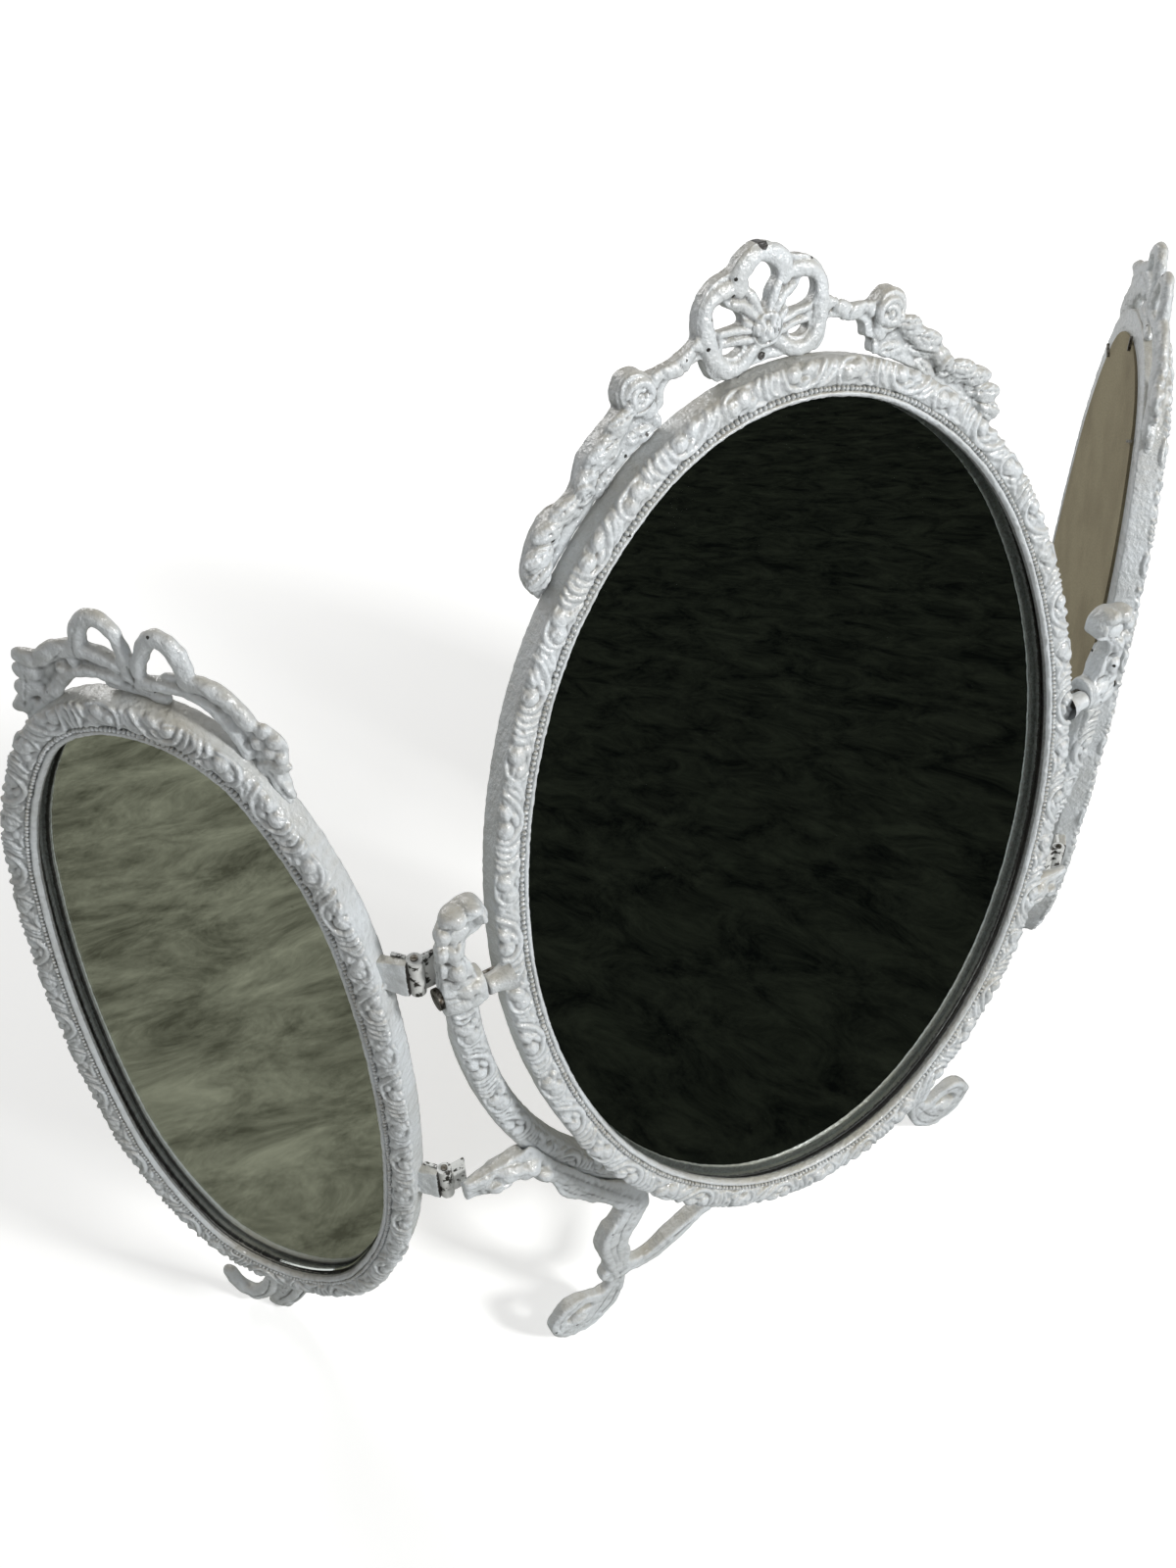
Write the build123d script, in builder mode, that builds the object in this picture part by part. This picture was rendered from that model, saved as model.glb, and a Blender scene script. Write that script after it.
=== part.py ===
"""Trifold vanity mirror: a tilting oval mirror in a cast yoke stand, with two hinged oval wings."""
import os
from math import cos, sin, radians, sqrt

from build123d import *

os.makedirs("parts", exist_ok=True)

# ---- driving dimensions, millimetres ----
pivot_height = 306.0        # tilt axis above the ground
centre_half_w = 150.0       # centre mirror rim, outer half width
centre_half_h = 205.7
centre_shape = (0.762, 24.5, 54.7)      # end radius over half width, degrees of the side arc, of side and shoulder
centre_drop = 4.3           # rim middle below the tilt axis
centre_front = 3.3          # rim front ahead of the tilt axis
centre_lean = 11.8          # degrees, top leaning back at rest
wing_half_w = 85.0          # wing rim, outer half width
wing_half_h = 193.5
wing_shape = (0.710, 7.9, 30.9)
wing_drop = 64.0            # rim middle below the tilt axis
wing_front = 11.0           # rim front ahead of the hinge pin
wing_fold = 51.0            # degrees, wings folded back at rest

rim_depth = 14.7
relief_w = 9.8              # decorated band
bead_w = 2.5
lip_w = 2.2
glass_t = 4.0
board_t = 3.0
glass_lap = 2.6             # glass hidden behind the lip
glass_fit = 0.3             # glass to the rebate wall

yoke_shape = (0.79, 25.2, 55.5)
yoke_gap = 11.0             # rim to yoke
yoke_gap_low = 9.0          # the same under the rim
yoke_w = 13.6               # band of the yoke, front view
yoke_front = 5.0            # ahead of the tilt axis
yoke_rear_top = 7.0
yoke_rear_low = 13.0
yoke_round = 3.0

hinge_out = 7.4             # hinge pins outside the yoke
hinge_back = 5.7            # hinge pins behind the tilt axis
hinge_high = 12.0           # middle of the upper hinges from the tilt axis
hinge_low = -129.0
hinge_h = 19.0
pin_r = 1.5
pin_proud = 0.8             # pin ends past the knuckles
running_fit = 0.05
knuckle_r = 3.2
knuckle_gap = 0.2
leaf_t = 1.5
leaf_in = 9.6               # hinge leaf reach from the pin
lug_clear = 4.6             # lug end from the pin, lets the wing swing
lug_half = 4.4

base_front = 7.0
base_rear = 2.0
foot_rear = 6.2             # wing foot behind the hinge pin
foot_front = 1.0
wing_gap = 11.0             # wing rim to its hinge pins
lap_in = 5.0                # base leaves lap over the front of the yoke
floor_trim = 40.0           # height of what is trimmed off level under the feet

boss_r = 9.0
stub_r = 5.0
stub_deep = 7.5             # screw bore into the stub
screw_r = 2.5
head_r = 4.6
head_h = 2.0
head_sink = 1.6
head_room = 0.15
slot_w = 1.1
brad_side = 1.3             # square cut brads that hold the boards
brad_in = 4.0
brad_out = 3.0

# ---- sizes worked out from them ----
opening_w = relief_w + bead_w + lip_w
rebate_w = opening_w - glass_lap - glass_fit
crown_side = 3.2            # where the convex band meets the rim's outer wall
crown_top = (2.6, 6.8)      # highest part of the band, in from the outer edge
bead_drop = 1.9
lip_depth = 4.0
glass_front = bead_drop + lip_depth     # behind the rim front
board_front = glass_front + glass_t
board_back = board_front + board_t
wing_mid = wing_gap + wing_half_w
yoke_in_w = centre_half_w + yoke_gap
yoke_out_w = yoke_in_w + yoke_w
yoke_out_h = centre_half_h + yoke_gap_low + yoke_w
hinge_w = yoke_out_w + hinge_out        # hinge pins either side of the middle
fold = radians(wing_fold)
lean = radians(centre_lean)
base_low = -pivot_height
crest_front = 8.4           # behind the rim front
crest_t = rim_depth - crest_front
stub_end = yoke_in_w - 2.9
boss_in = stub_end + 0.3
boss_out = hinge_w - lug_clear

# the assembly stands centred over its own footprint
tip_reach = wing_gap + 2 * wing_half_w
wing_rear_edge = hinge_back + tip_reach * sin(fold) + (rim_depth - wing_front) * cos(fold)
centre_low = centre_drop + centre_half_h
centre_front_edge = centre_low * sin(lean) + centre_front * cos(lean)
stand_y = (centre_front_edge - wing_rear_edge) / 2

stand = Plane(origin=(0, stand_y, pivot_height), x_dir=(1, 0, 0), z_dir=(0, -1, 0))
centre = Plane(origin=(0, stand_y, pivot_height), x_dir=(1, 0, 0), z_dir=(0, -cos(lean), sin(lean)))
centre_face = centre.offset(centre_front)
centre_form = ((0, -centre_drop), centre_half_w, centre_half_h, centre_shape)
yoke_form = ((0, 0), yoke_out_w, yoke_out_h, yoke_shape)


def wing_plane(side):
    return Plane(origin=(side * hinge_w, stand_y + hinge_back, pivot_height),
                 x_dir=(cos(fold), side * sin(fold), 0), z_dir=(side * sin(fold), -cos(fold), 0))


def side_plane(x):
    """Looking along +X: sketch x is toward the back, sketch y is up."""
    return Plane(origin=(x, stand_y, pivot_height), x_dir=(0, 1, 0), z_dir=(1, 0, 0))


def level(z, pin_side=0):
    """A horizontal plane over the tilt axis, or over a hinge pin."""
    return Plane(origin=(pin_side * hinge_w, stand_y + abs(pin_side) * hinge_back, pivot_height + z),
                 x_dir=(1, 0, 0), z_dir=(0, 0, 1))


def pivot_of(side):
    """The stand's own plane moved to a hinge pin."""
    return Plane(origin=(side * hinge_w, stand_y + hinge_back, pivot_height), x_dir=(1, 0, 0), z_dir=(0, -1, 0))


def three_radii(half_w, half_h, shape):
    """Side, shoulder and end radius of an oval whose arcs meet without a corner."""
    share, side_turn, end_turn = shape
    low, high, end_r = radians(side_turn), radians(end_turn), share * half_w
    rise, across = half_h - end_r + end_r * sin(high), half_w - end_r * cos(high)
    near, far = sin(high) - sin(low), cos(low) - cos(high)
    scale = -sin(low) * far + near * (1 - cos(low))
    return (-rise * far + near * across) / scale, (-sin(low) * across + (1 - cos(low)) * rise) / scale, end_r


def oval_arcs(form):
    """Centre, radius, start angle and sweep of an oval's eight arcs, anticlockwise from its right side."""
    (x, y), half_w, half_h, shape = form
    share, low, high = shape
    side_r, shoulder_r, end_r = three_radii(half_w, half_h, shape)
    side_x, end_y, step = half_w - side_r, half_h - end_r, shoulder_r - end_r
    in_x, in_y = -step * cos(radians(high)), end_y - step * sin(radians(high))
    arcs = []
    for right, start in ((1, 0), (-1, 180)):
        arcs.append(((x + right * side_x, y), side_r, start - low, 2 * low))
        arcs.append(((x + right * in_x, y + right * in_y), shoulder_r, start + low, high - low))
        arcs.append(((x, y + right * end_y), end_r, start + high, 180 - 2 * high))
        arcs.append(((x - right * in_x, y + right * in_y), shoulder_r, start + 180 - high, high - low))
    return arcs


def oval_at(plane, form, angle, out):
    """A point beside the oval where its outward way has this angle, and that way."""
    for (x, y), radius, start, sweep_by in oval_arcs(form):
        if (angle - start) % 360 < sweep_by:
            way = plane.x_dir * cos(radians(angle)) + plane.y_dir * sin(radians(angle))
            return plane.from_local_coords((x, y)) + way * (radius + out), way


def oval(form, inset=0, mode=Mode.ADD):
    """The closed oval for the sketch at hand, a distance inside its outline."""
    with BuildLine() as outline:
        for middle, radius, start, sweep_by in oval_arcs(form):
            CenterArc(middle, radius - inset, start, sweep_by)
    make_face(outline.edges(), mode=mode)


def moulding(plane, form, section):
    """A section carried round the oval, turned about each arc's own centre; x is inward, y to the front."""
    for middle, radius, start, sweep_by in oval_arcs(form):
        pole = plane.from_local_coords(middle)
        out = plane.x_dir * cos(radians(start)) + plane.y_dir * sin(radians(start))
        with BuildSketch(Plane(origin=pole + out * radius, x_dir=out * -1, z_dir=plane.z_dir.cross(out))) as cut:
            with BuildLine() as outline:
                section()
            make_face(outline.edges())
        revolve(cut.sketch, axis=Axis(pole, plane.z_dir), revolution_arc=sweep_by)


def rim_section():
    """Rounded relief band, bead seat, sloping lip, glass seat and rear rebate."""
    Polyline((0, -crown_side), (crown_top[0], 0), (crown_top[1], 0), (relief_w, -bead_drop),
             (relief_w + bead_w, -bead_drop), (opening_w, -lip_depth), (opening_w, -glass_front),
             (rebate_w, -glass_front), (rebate_w, -rim_depth), (0, -rim_depth), (0, -crown_side))


def yoke_section():
    """Convex front, plain walls; the rear is cut to its slope afterwards."""
    Polyline((0, yoke_front - yoke_round), (yoke_round, yoke_front), (yoke_w - yoke_round, yoke_front),
             (yoke_w, yoke_front - yoke_round), (yoke_w, -yoke_rear_low), (0, -yoke_rear_low), (0, yoke_front - yoke_round))


def blob(points, mode=Mode.ADD):
    """A closed outline of tangent arcs through a few points, two arcs between neighbours."""
    spots = [Vector(*p) for p in points]
    count = len(spots)
    ways = [(spots[(i + 1) % count] - spots[i - 1]).normalized() for i in range(count)]
    with BuildLine() as outline:
        for i in range(count):
            arc_pair(spots[i], ways[i], spots[(i + 1) % count], ways[(i + 1) % count])
    make_face(outline.edges(), mode=mode)


def arc_pair(start, start_way, end, end_way):
    """Two arcs that leave and arrive along the ways given and meet smoothly between."""
    span, both = end - start, start_way + end_way
    bend = 2 * (1 - start_way.dot(end_way))
    along = span.dot(both)
    if bend < 1e-6:
        reach = span.dot(span) / (2 * along)
    else:
        reach = (sqrt(along ** 2 + bend * span.dot(span)) - along) / bend
    middle = (start + end + (start_way - end_way) * reach) * 0.5
    middle_way = end - end_way * reach - start - start_way * reach
    one_arc(start, middle, start_way)
    one_arc(middle, end, middle_way.normalized())


def one_arc(start, end, way):
    if (end - start).normalized().cross(way).length < 1e-3:
        Line(start, end)
    else:
        TangentArc(start, end, tangent=way)


def brad_planes(plane, form, count):
    """Where the brads go through the rebate wall to bear on the board."""
    planes = []
    for i in range(count):
        spot, way = oval_at(plane, form, 360 * (i + 0.5) / count, -rebate_w)
        planes.append(Plane(origin=spot - plane.z_dir * (board_back + brad_side / 2) - way * brad_in,
                            x_dir=plane.z_dir, z_dir=way))
    return planes


def brads(planes, mode=Mode.ADD):
    for place in planes:
        with BuildSketch(place) as end:
            Rectangle(brad_side, brad_side)
        extrude(end.sketch, amount=brad_in + brad_out, mode=mode)


def save(builder, name):
    builder.part.label = name
    export_step(builder.part, f"parts/{name}.step")


def on_stand(points, side=1):
    """Outline points drawn for the nominal stand, carried along when the stand is resized."""
    low, ground = yoke_out_h / 228.3, (pivot_height - yoke_out_h) / 77.7
    return [(side * x * yoke_out_w / 174.6, y * low if y > -228.3 else (y + 228.3) * ground - yoke_out_h)
            for x, y in points]


def on_wing(points, side):
    """Outline points drawn for the nominal wing, upper ones by the rim and lower ones by the ground."""
    high, rim_low = wing_half_h / 193.5, wing_drop + wing_half_h
    ground = (pivot_height - rim_low) / 48.5
    return [(side * (wing_mid + (u - 96) * wing_half_w / 85),
             (z + 64) * high - wing_drop if z > -257.5 else (z + 257.5) * ground - rim_low) for u, z in points]


def on_centre(points, side=1):
    return [(side * x * centre_half_w / 150, y * (centre_half_h - centre_drop) / 201.4) for x, y in points]


def hinge_leaf(plane, side, high, ends):
    """One leaf of a butt hinge: a plate on the local x axis and its share of the knuckle."""
    outer = hinge_h / 3 - 0.6
    spans = [(0, outer), (hinge_h - outer, outer)] if ends else [(outer + knuckle_gap, hinge_h - 2 * outer - 2 * knuckle_gap)]
    low = high - hinge_h / 2
    with BuildSketch(plane.offset(-leaf_t / 2)) as plate:
        with Locations((side * (knuckle_r + 0.4 + leaf_in) / 2, high)):
            Rectangle(leaf_in - knuckle_r - 0.4, hinge_h)
        for start, tall in spans:
            with Locations((side * (knuckle_r + 0.5) / 2, low + start + tall / 2)):
                Rectangle(knuckle_r + 0.5, tall)
    extrude(plate.sketch, amount=leaf_t)
    foot = Plane(origin=plane.origin, x_dir=plane.x_dir, z_dir=(0, 0, 1))
    for start, tall in spans:
        with BuildSketch(foot.offset(low + start)) as barrel:
            Circle(knuckle_r)
        extrude(barrel.sketch, amount=tall)
    with BuildSketch(foot.offset(low - 1)) as bore:
        Circle(pin_r + running_fit)
    extrude(bore.sketch, amount=hinge_h + 2, mode=Mode.SUBTRACT)


def lug(plane, side, high, root, rear, front):
    """A block that takes a hinge leaf, drawn from above."""
    from_above = Plane(origin=plane.origin, x_dir=plane.x_dir, z_dir=(0, 0, 1)).offset(high - hinge_h / 2 - 0.7)
    with BuildSketch(from_above) as block:
        with BuildLine() as outline:
            Polyline((side * lug_clear, -lug_half), (side * lug_clear, lug_half), (side * (root - 2), lug_half),
                     (side * root, rear), (side * root, -front), (side * lug_clear, -lug_half))
        make_face(outline.edges())
    extrude(block.sketch, amount=hinge_h + 1.4)


def leaf_slot(plane, side, high):
    """The mortise that the leaf is let into."""
    from_above = Plane(origin=plane.origin, x_dir=plane.x_dir, z_dir=(0, 0, 1)).offset(high - hinge_h / 2)
    with BuildSketch(from_above) as slot:
        with Locations((side * (leaf_in + lug_clear - 1) / 2, 0)):
            Rectangle(leaf_in - lug_clear + 1, leaf_t)
    extrude(slot.sketch, amount=hinge_h, mode=Mode.SUBTRACT)


# ---- the yoke ----
finial = [(164.5, -3), (161, 18), (162.5, 30), (156, 35), (154.6, 42), (158, 47.5), (164.5, 48),
          (174, 41), (176, 28), (176.5, 8), (172, -5)]
finial_t = 10.0

with BuildPart() as yoke:
    moulding(stand, yoke_form, yoke_section)
    split(bisect_by=level(0), keep=Keep.BOTTOM)
    with BuildSketch(side_plane(-yoke_out_w - 5)):
        with BuildLine():
            slope = ThreePointArc((yoke_rear_top, 2), (yoke_rear_top + 1.6, -yoke_out_h * 0.48),
                                  (yoke_rear_low, -yoke_out_h - 1))
            Polyline(slope @ 1, (-yoke_front - 1, -yoke_out_h - 1), (-yoke_front - 1, 2), slope @ 0)
        make_face()
    extrude(amount=2 * yoke_out_w + 10, mode=Mode.INTERSECT)
    for side in (-1, 1):
        with BuildSketch(side_plane(side * boss_in)):
            Circle(boss_r)
        extrude(amount=side * (boss_out - boss_in))
        with BuildSketch(stand.offset(-finial_t / 2)):
            blob(on_stand(finial, side))
        extrude(amount=finial_t)
        lug(pivot_of(side), -side, hinge_high, 16, 3, 1)
        with BuildSketch(side_plane(side * (boss_in - 1))):
            Circle(screw_r + running_fit)
        extrude(amount=side * (boss_out - boss_in + 2), mode=Mode.SUBTRACT)
        with BuildSketch(side_plane(side * (boss_out - head_sink))):
            Circle(head_r + head_room)
        extrude(amount=side * (head_sink + 1), mode=Mode.SUBTRACT)
        leaf_slot(pivot_of(side), -side, hinge_high)
save(yoke, "yoke")

# ---- pivot screws ----
for side, hand in ((-1, "left"), (1, "right")):
    with BuildPart() as pivot_screw:
        with BuildSketch(side_plane(side * (boss_out - head_sink))):
            Circle(head_r)
        extrude(amount=side * head_h)
        with BuildSketch(side_plane(side * (boss_out - head_sink))):
            Circle(screw_r)
        extrude(amount=-side * (boss_out - head_sink - stub_end + stub_deep - 0.6))
        with BuildSketch(side_plane(side * (boss_out - head_sink + head_h))):
            with Locations(Rotation(0, 0, 25)):
                Rectangle(2.2 * head_r, slot_w)
        extrude(amount=-side * 1.0, mode=Mode.SUBTRACT)
    save(pivot_screw, f"{hand}_pivot_screw")

# ---- the base: hinge arms, leaves, legs, scroll feet and the arched brace in one casting ----
arm_leaf = [(182, -119.4), (152, -118.8), (144, -117), (132, -138), (112, -170), (92, -192), (84, -205),
            (88, -213), (96.3, -210.6), (107.3, -196.6), (119.5, -183), (129.3, -170), (135.3, -154.6), (142.3, -143.4),
            (152, -138), (182, -138.6)]
leg = [(84, -204), (94, -206), (97, -216), (108.5, -230), (110.3, -239), (105.8, -260),
       (104.5, -270), (100.5, -274), (96.6, -268), (92.6, -256), (93.4, -243), (86, -228), (82, -218)]
scroll = [(104.5, -264), (106, -276), (110, -280), (117.3, -276.5), (125.3, -273), (132.8, -275), (140.6, -287.5),
          (133.3, -301.8), (121.3, -308), (114, -303.5), (101.3, -291.5), (96.0, -270), (99, -262)]
scroll_eye = [(115.5, -286.5), (118, -282.5), (124, -281.3), (130, -284.5), (132.2, -289.5), (129, -290.5), (124, -286.5),
              (119, -286.5)]
brace = [(108, -262), (98, -262), (84, -266.2), (69, -260), (50, -252.5), (24, -232), (8, -222), (-8, -222), (-8, -240),
         (8, -240), (24, -246.5), (48, -258.5), (62, -267.6), (82, -275.4), (98, -270.5), (108, -270)]

with BuildPart() as base:
    with BuildSketch(stand.offset(-base_rear)):
        for side in (-1, 1):
            for points in (arm_leaf, leg, scroll, brace):
                blob(on_stand(points, side))
            blob(on_stand(scroll_eye, side), Mode.SUBTRACT)
        with Locations((-boss_out - 10, hinge_low), (boss_out + 10, hinge_low)):
            Rectangle(20, 40, mode=Mode.SUBTRACT)
        with Locations((0, base_low - floor_trim / 2)):
            Rectangle(3 * hinge_w, floor_trim, mode=Mode.SUBTRACT)
        oval(yoke_form, lap_in, Mode.SUBTRACT)
    extrude(amount=base_rear + base_front)
    for side in (-1, 1):
        lug(pivot_of(side), -side, hinge_low, 20, 0, 9)
    with BuildSketch(stand.offset(-base_rear - 20)):
        oval(yoke_form)
    extrude(amount=base_rear + 20 + yoke_front, mode=Mode.SUBTRACT)
    for side in (-1, 1):
        leaf_slot(pivot_of(side), -side, hinge_low)
save(base, "base")

# ---- the stand's hinge leaves ----
for side, hand in ((-1, "left"), (1, "right")):
    with BuildPart() as stand_leaves:
        for high in (hinge_high, hinge_low):
            hinge_leaf(pivot_of(side), -side, high, True)
    save(stand_leaves, f"{hand}_stand_leaves")

# ---- the centre mirror ----
bow_edge = [(0, 244), (7, 241.8), (12, 237.5), (22, 233.8), (28.5, 225), (28.5, 212), (22.5, 199.5), (9, 201), (0, 198.5)]
top_window = [(0, 236.8), (4, 235.6), (6.8, 231), (4, 227), (0, 221.5)]
side_window = [(9.5, 218.6), (15, 224), (18.5, 227.3), (22, 226.4), (23.3, 221.5), (20.5, 217.8), (15, 217.2)]
low_window = [(10.5, 209.8), (15, 211.4), (18.8, 210.4), (16.6, 207.4), (13, 207.6)]
ribbon = [(27, 219), (31, 216), (39, 212.3), (48, 210.6), (54, 209), (54, 203), (47, 197),
          (42.5, 205), (33.5, 208), (25, 212)]
swag = [(48, 190), (51, 200), (60, 203), (69, 198.4), (80.5, 189), (86.5, 177.8),
        (98, 173), (106.5, 162), (108.6, 149), (99, 142), (80, 158), (60, 178)]
rose_at, rose_r = (56.7, 206.4), 8.0
knot_at, knot_r = (0, 214), 5.2
rose_high = 2.0


def closed_half(points, mode=Mode.ADD):
    """A symmetrical outline from its right half, start and end on the middle line."""
    blob(on_centre(points) + on_centre(points[1:-1][::-1], -1), mode)


with BuildPart() as centre_frame:
    moulding(centre_face, centre_form, rim_section)
    for side in (-1, 1):
        with BuildSketch(side_plane(side * (centre_half_w - 3))):
            Circle(stub_r)
        extrude(amount=side * (stub_end - centre_half_w + 3))
        with BuildSketch(side_plane(side * (stub_end - stub_deep))):
            Circle(screw_r + running_fit)
        extrude(amount=side * (stub_deep + 1), mode=Mode.SUBTRACT)
    brads(brad_planes(centre_face, centre_form, 8), Mode.SUBTRACT)
save(centre_frame, "centre_frame")

with BuildPart() as centre_crest:
    with BuildSketch(centre_face.offset(-rim_depth)):
        closed_half(bow_edge)
        for side in (-1, 1):
            blob(on_centre(ribbon, side))
            blob(on_centre(swag, side))
            with Locations(on_centre([rose_at], side)[0]):
                Circle(rose_r)
            blob(on_centre(side_window, side), Mode.SUBTRACT)
            blob(on_centre(low_window, side), Mode.SUBTRACT)
        closed_half(top_window, Mode.SUBTRACT)
        oval(centre_form, 0, Mode.SUBTRACT)
    extrude(amount=crest_t)
    for side in (-1, 1):
        with BuildSketch(centre_face.offset(-crest_front)):
            with Locations(on_centre([rose_at], side)[0]):
                Circle(rose_r - 1.2)
        extrude(amount=rose_high)
    with BuildSketch(centre_face.offset(-crest_front)):
        with Locations(on_centre([knot_at])[0]):
            Circle(knot_r)
    extrude(amount=rose_high)
save(centre_crest, "centre_crest")


def glazing(plane, form, name, count):
    """Glass, backing board and the brads that hold them, for one mirror."""
    for piece, front, thickness in (("glass", glass_front, glass_t), ("board", board_front, board_t)):
        with BuildPart() as sheet:
            with BuildSketch(plane.offset(-front)):
                oval(form, rebate_w + glass_fit)
            extrude(amount=-thickness)
        save(sheet, f"{name}_{piece}")
    with BuildPart() as fixings:
        brads(brad_planes(plane, form, count))
    save(fixings, f"{name}_brads")


glazing(centre_face, centre_form, "centre", 8)

# ---- the wings ----
loop_far = [(93, 138), (93.5, 149), (103, 162), (115.5, 153), (117, 146), (103, 132)]
window_far = [(100, 143.5), (101, 149), (104, 153), (107.3, 152), (108.5, 147)]
loop_near = [(91, 137), (90.8, 149), (82, 160), (71, 152), (69.3, 146), (80, 134)]
window_near = [(87.5, 142.6), (84.5, 148.4), (81, 150.2), (78.4, 147), (78.2, 142.4), (83, 141.8)]
ribbon_far = [(95, 138), (108, 142), (117, 146), (130, 138.8), (141.6, 134), (143.6, 125.5),
              (150.5, 110), (142, 99), (126, 112), (104, 118), (96, 118)]
ribbon_near = [(97, 138), (85, 142), (67, 143), (57, 136), (48, 128.4), (39.5, 125), (36.3, 114), (37.4, 100),
               (42, 90), (56, 100), (76, 114), (96, 118)]
slit_far = [(112.5, 131), (118, 128.4), (123.8, 123.8), (120, 121.6), (113, 124.8), (110.5, 128.6)]
slit_near = [(74, 126.6), (69, 124.8), (62.4, 119), (63.6, 115.8), (69.6, 118), (74.6, 122)]
wing_roses, wing_rose_r, wing_rose_high = ((45.5, 119.5), (138.5, 128.5)), 7.0, 1.8
foot_leaf = [(86, -250), (88.6, -262), (96, -283), (107, -299), (114, -307.5), (118, -304), (122, -303),
             (130, -307.4), (140.6, -297), (141.4, -282), (133.4, -271), (129.6, -271.5), (126.4, -282.4), (121.6, -285),
             (117.4, -282), (115.6, -266), (118, -250)]

for side, hand in ((-1, "left"), (1, "right")):
    hinge_plane = wing_plane(side)
    wing_face = hinge_plane.offset(wing_front)
    wing_form = ((side * wing_mid, -wing_drop), wing_half_w, wing_half_h, wing_shape)
    with BuildPart() as wing_frame:
        moulding(wing_face, wing_form, rim_section)
        with BuildSketch(hinge_plane.offset(-foot_rear)) as foot:
            blob(on_wing(foot_leaf, side))
            with Locations((side * wing_mid, base_low - floor_trim / 2)):
                Rectangle(3 * wing_half_w, floor_trim, mode=Mode.SUBTRACT)
            oval(wing_form, relief_w / 2, Mode.SUBTRACT)
        extrude(foot.sketch, amount=foot_rear + foot_front)
        for high in (hinge_high, hinge_low):
            lug(hinge_plane, side, high, 20, lug_half - 0.8, lug_half - 0.8)
        with BuildSketch(wing_face.offset(-rim_depth - 1)) as rebate:
            oval(wing_form, rebate_w)
        extrude(rebate.sketch, amount=rim_depth + 1 - glass_front, mode=Mode.SUBTRACT)
        for high in (hinge_high, hinge_low):
            leaf_slot(hinge_plane, side, high)
        brads(brad_planes(wing_face, wing_form, 6), Mode.SUBTRACT)
    save(wing_frame, f"{hand}_wing_frame")
    with BuildPart() as wing_crest:
        with BuildSketch(wing_face.offset(-rim_depth)) as bow:
            for points in (loop_far, loop_near, ribbon_far, ribbon_near):
                blob(on_wing(points, side))
            for points in (window_far, window_near, slit_far, slit_near):
                blob(on_wing(points, side), Mode.SUBTRACT)
            for spot in wing_roses:
                with Locations(on_wing([spot], side)[0]):
                    Circle(wing_rose_r)
            oval(wing_form, 0, Mode.SUBTRACT)
        extrude(bow.sketch, amount=crest_t)
        for spot in wing_roses:
            with BuildSketch(wing_face.offset(-crest_front)) as rose:
                with Locations(on_wing([spot], side)[0]):
                    Circle(wing_rose_r - 1)
            extrude(rose.sketch, amount=wing_rose_high)
    save(wing_crest, f"{hand}_wing_crest")
    glazing(wing_face, wing_form, f"{hand}_wing", 6)
    with BuildPart() as wing_leaves:
        for high in (hinge_high, hinge_low):
            hinge_leaf(hinge_plane, side, high, False)
    save(wing_leaves, f"{hand}_wing_leaves")
    with BuildPart() as hinge_pins:
        for high in (hinge_high, hinge_low):
            with BuildSketch(level(high - hinge_h / 2 - pin_proud, side)) as pin:
                Circle(pin_r)
            extrude(pin.sketch, amount=hinge_h + 2 * pin_proud)
    save(hinge_pins, f"{hand}_hinge_pins")
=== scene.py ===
from math import cos, sin, radians, pi

import bpy
import numpy as np
from mathutils import Matrix, Vector


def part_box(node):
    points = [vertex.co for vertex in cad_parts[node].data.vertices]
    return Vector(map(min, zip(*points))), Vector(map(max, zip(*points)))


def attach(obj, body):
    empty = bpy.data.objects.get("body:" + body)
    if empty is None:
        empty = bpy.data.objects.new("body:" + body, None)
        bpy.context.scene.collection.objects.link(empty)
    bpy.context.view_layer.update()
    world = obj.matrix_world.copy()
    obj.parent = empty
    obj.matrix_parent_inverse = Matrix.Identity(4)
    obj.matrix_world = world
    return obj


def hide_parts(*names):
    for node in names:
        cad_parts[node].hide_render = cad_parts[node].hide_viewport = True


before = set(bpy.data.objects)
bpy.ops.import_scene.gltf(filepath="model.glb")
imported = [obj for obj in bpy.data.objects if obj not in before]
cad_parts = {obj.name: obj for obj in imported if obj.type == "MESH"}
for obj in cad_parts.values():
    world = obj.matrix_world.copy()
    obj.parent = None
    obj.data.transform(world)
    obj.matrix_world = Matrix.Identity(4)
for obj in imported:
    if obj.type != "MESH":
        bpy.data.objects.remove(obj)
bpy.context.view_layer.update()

scene = bpy.context.scene
mm = 0.001
print("frame loaded")

# where the castings stand, in millimetres and degrees
layout = {
    "pivotHeight": 306.0,
    "yokeFront": 5.0,       # ahead of the tilt axis
    "lean": 11.8,
    "centreFront": 3.3,
    "hingeOut": 182.0,
    "hingeBack": 5.7,
    "wingFront": 11.0,
    "fold": 51.0,
    "rimDepth": 14.7,
}
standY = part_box("yoke")[0].y / mm + layout["yokeFront"]


# a piece's own millimetres (across, up, toward the viewer) to metres in the room
def placeAt(origin, across, front, forward=0.0):
    across, front = Vector(across).normalized(), Vector(front).normalized()
    turn = Matrix((across, front.cross(across), front)).transposed().to_4x4()
    return Matrix.Translation(Vector(origin) * mm) @ turn @ Matrix.Scale(mm, 4) @ Matrix.Translation((0, 0, forward))


pivot = (0, standY, layout["pivotHeight"])
lean, fold = radians(layout["lean"]), radians(layout["fold"])
standPlace = placeAt(pivot, (1, 0, 0), (0, -1, 0))
centrePlace = placeAt(pivot, (1, 0, 0), (0, -cos(lean), sin(lean)), layout["centreFront"])


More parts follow.
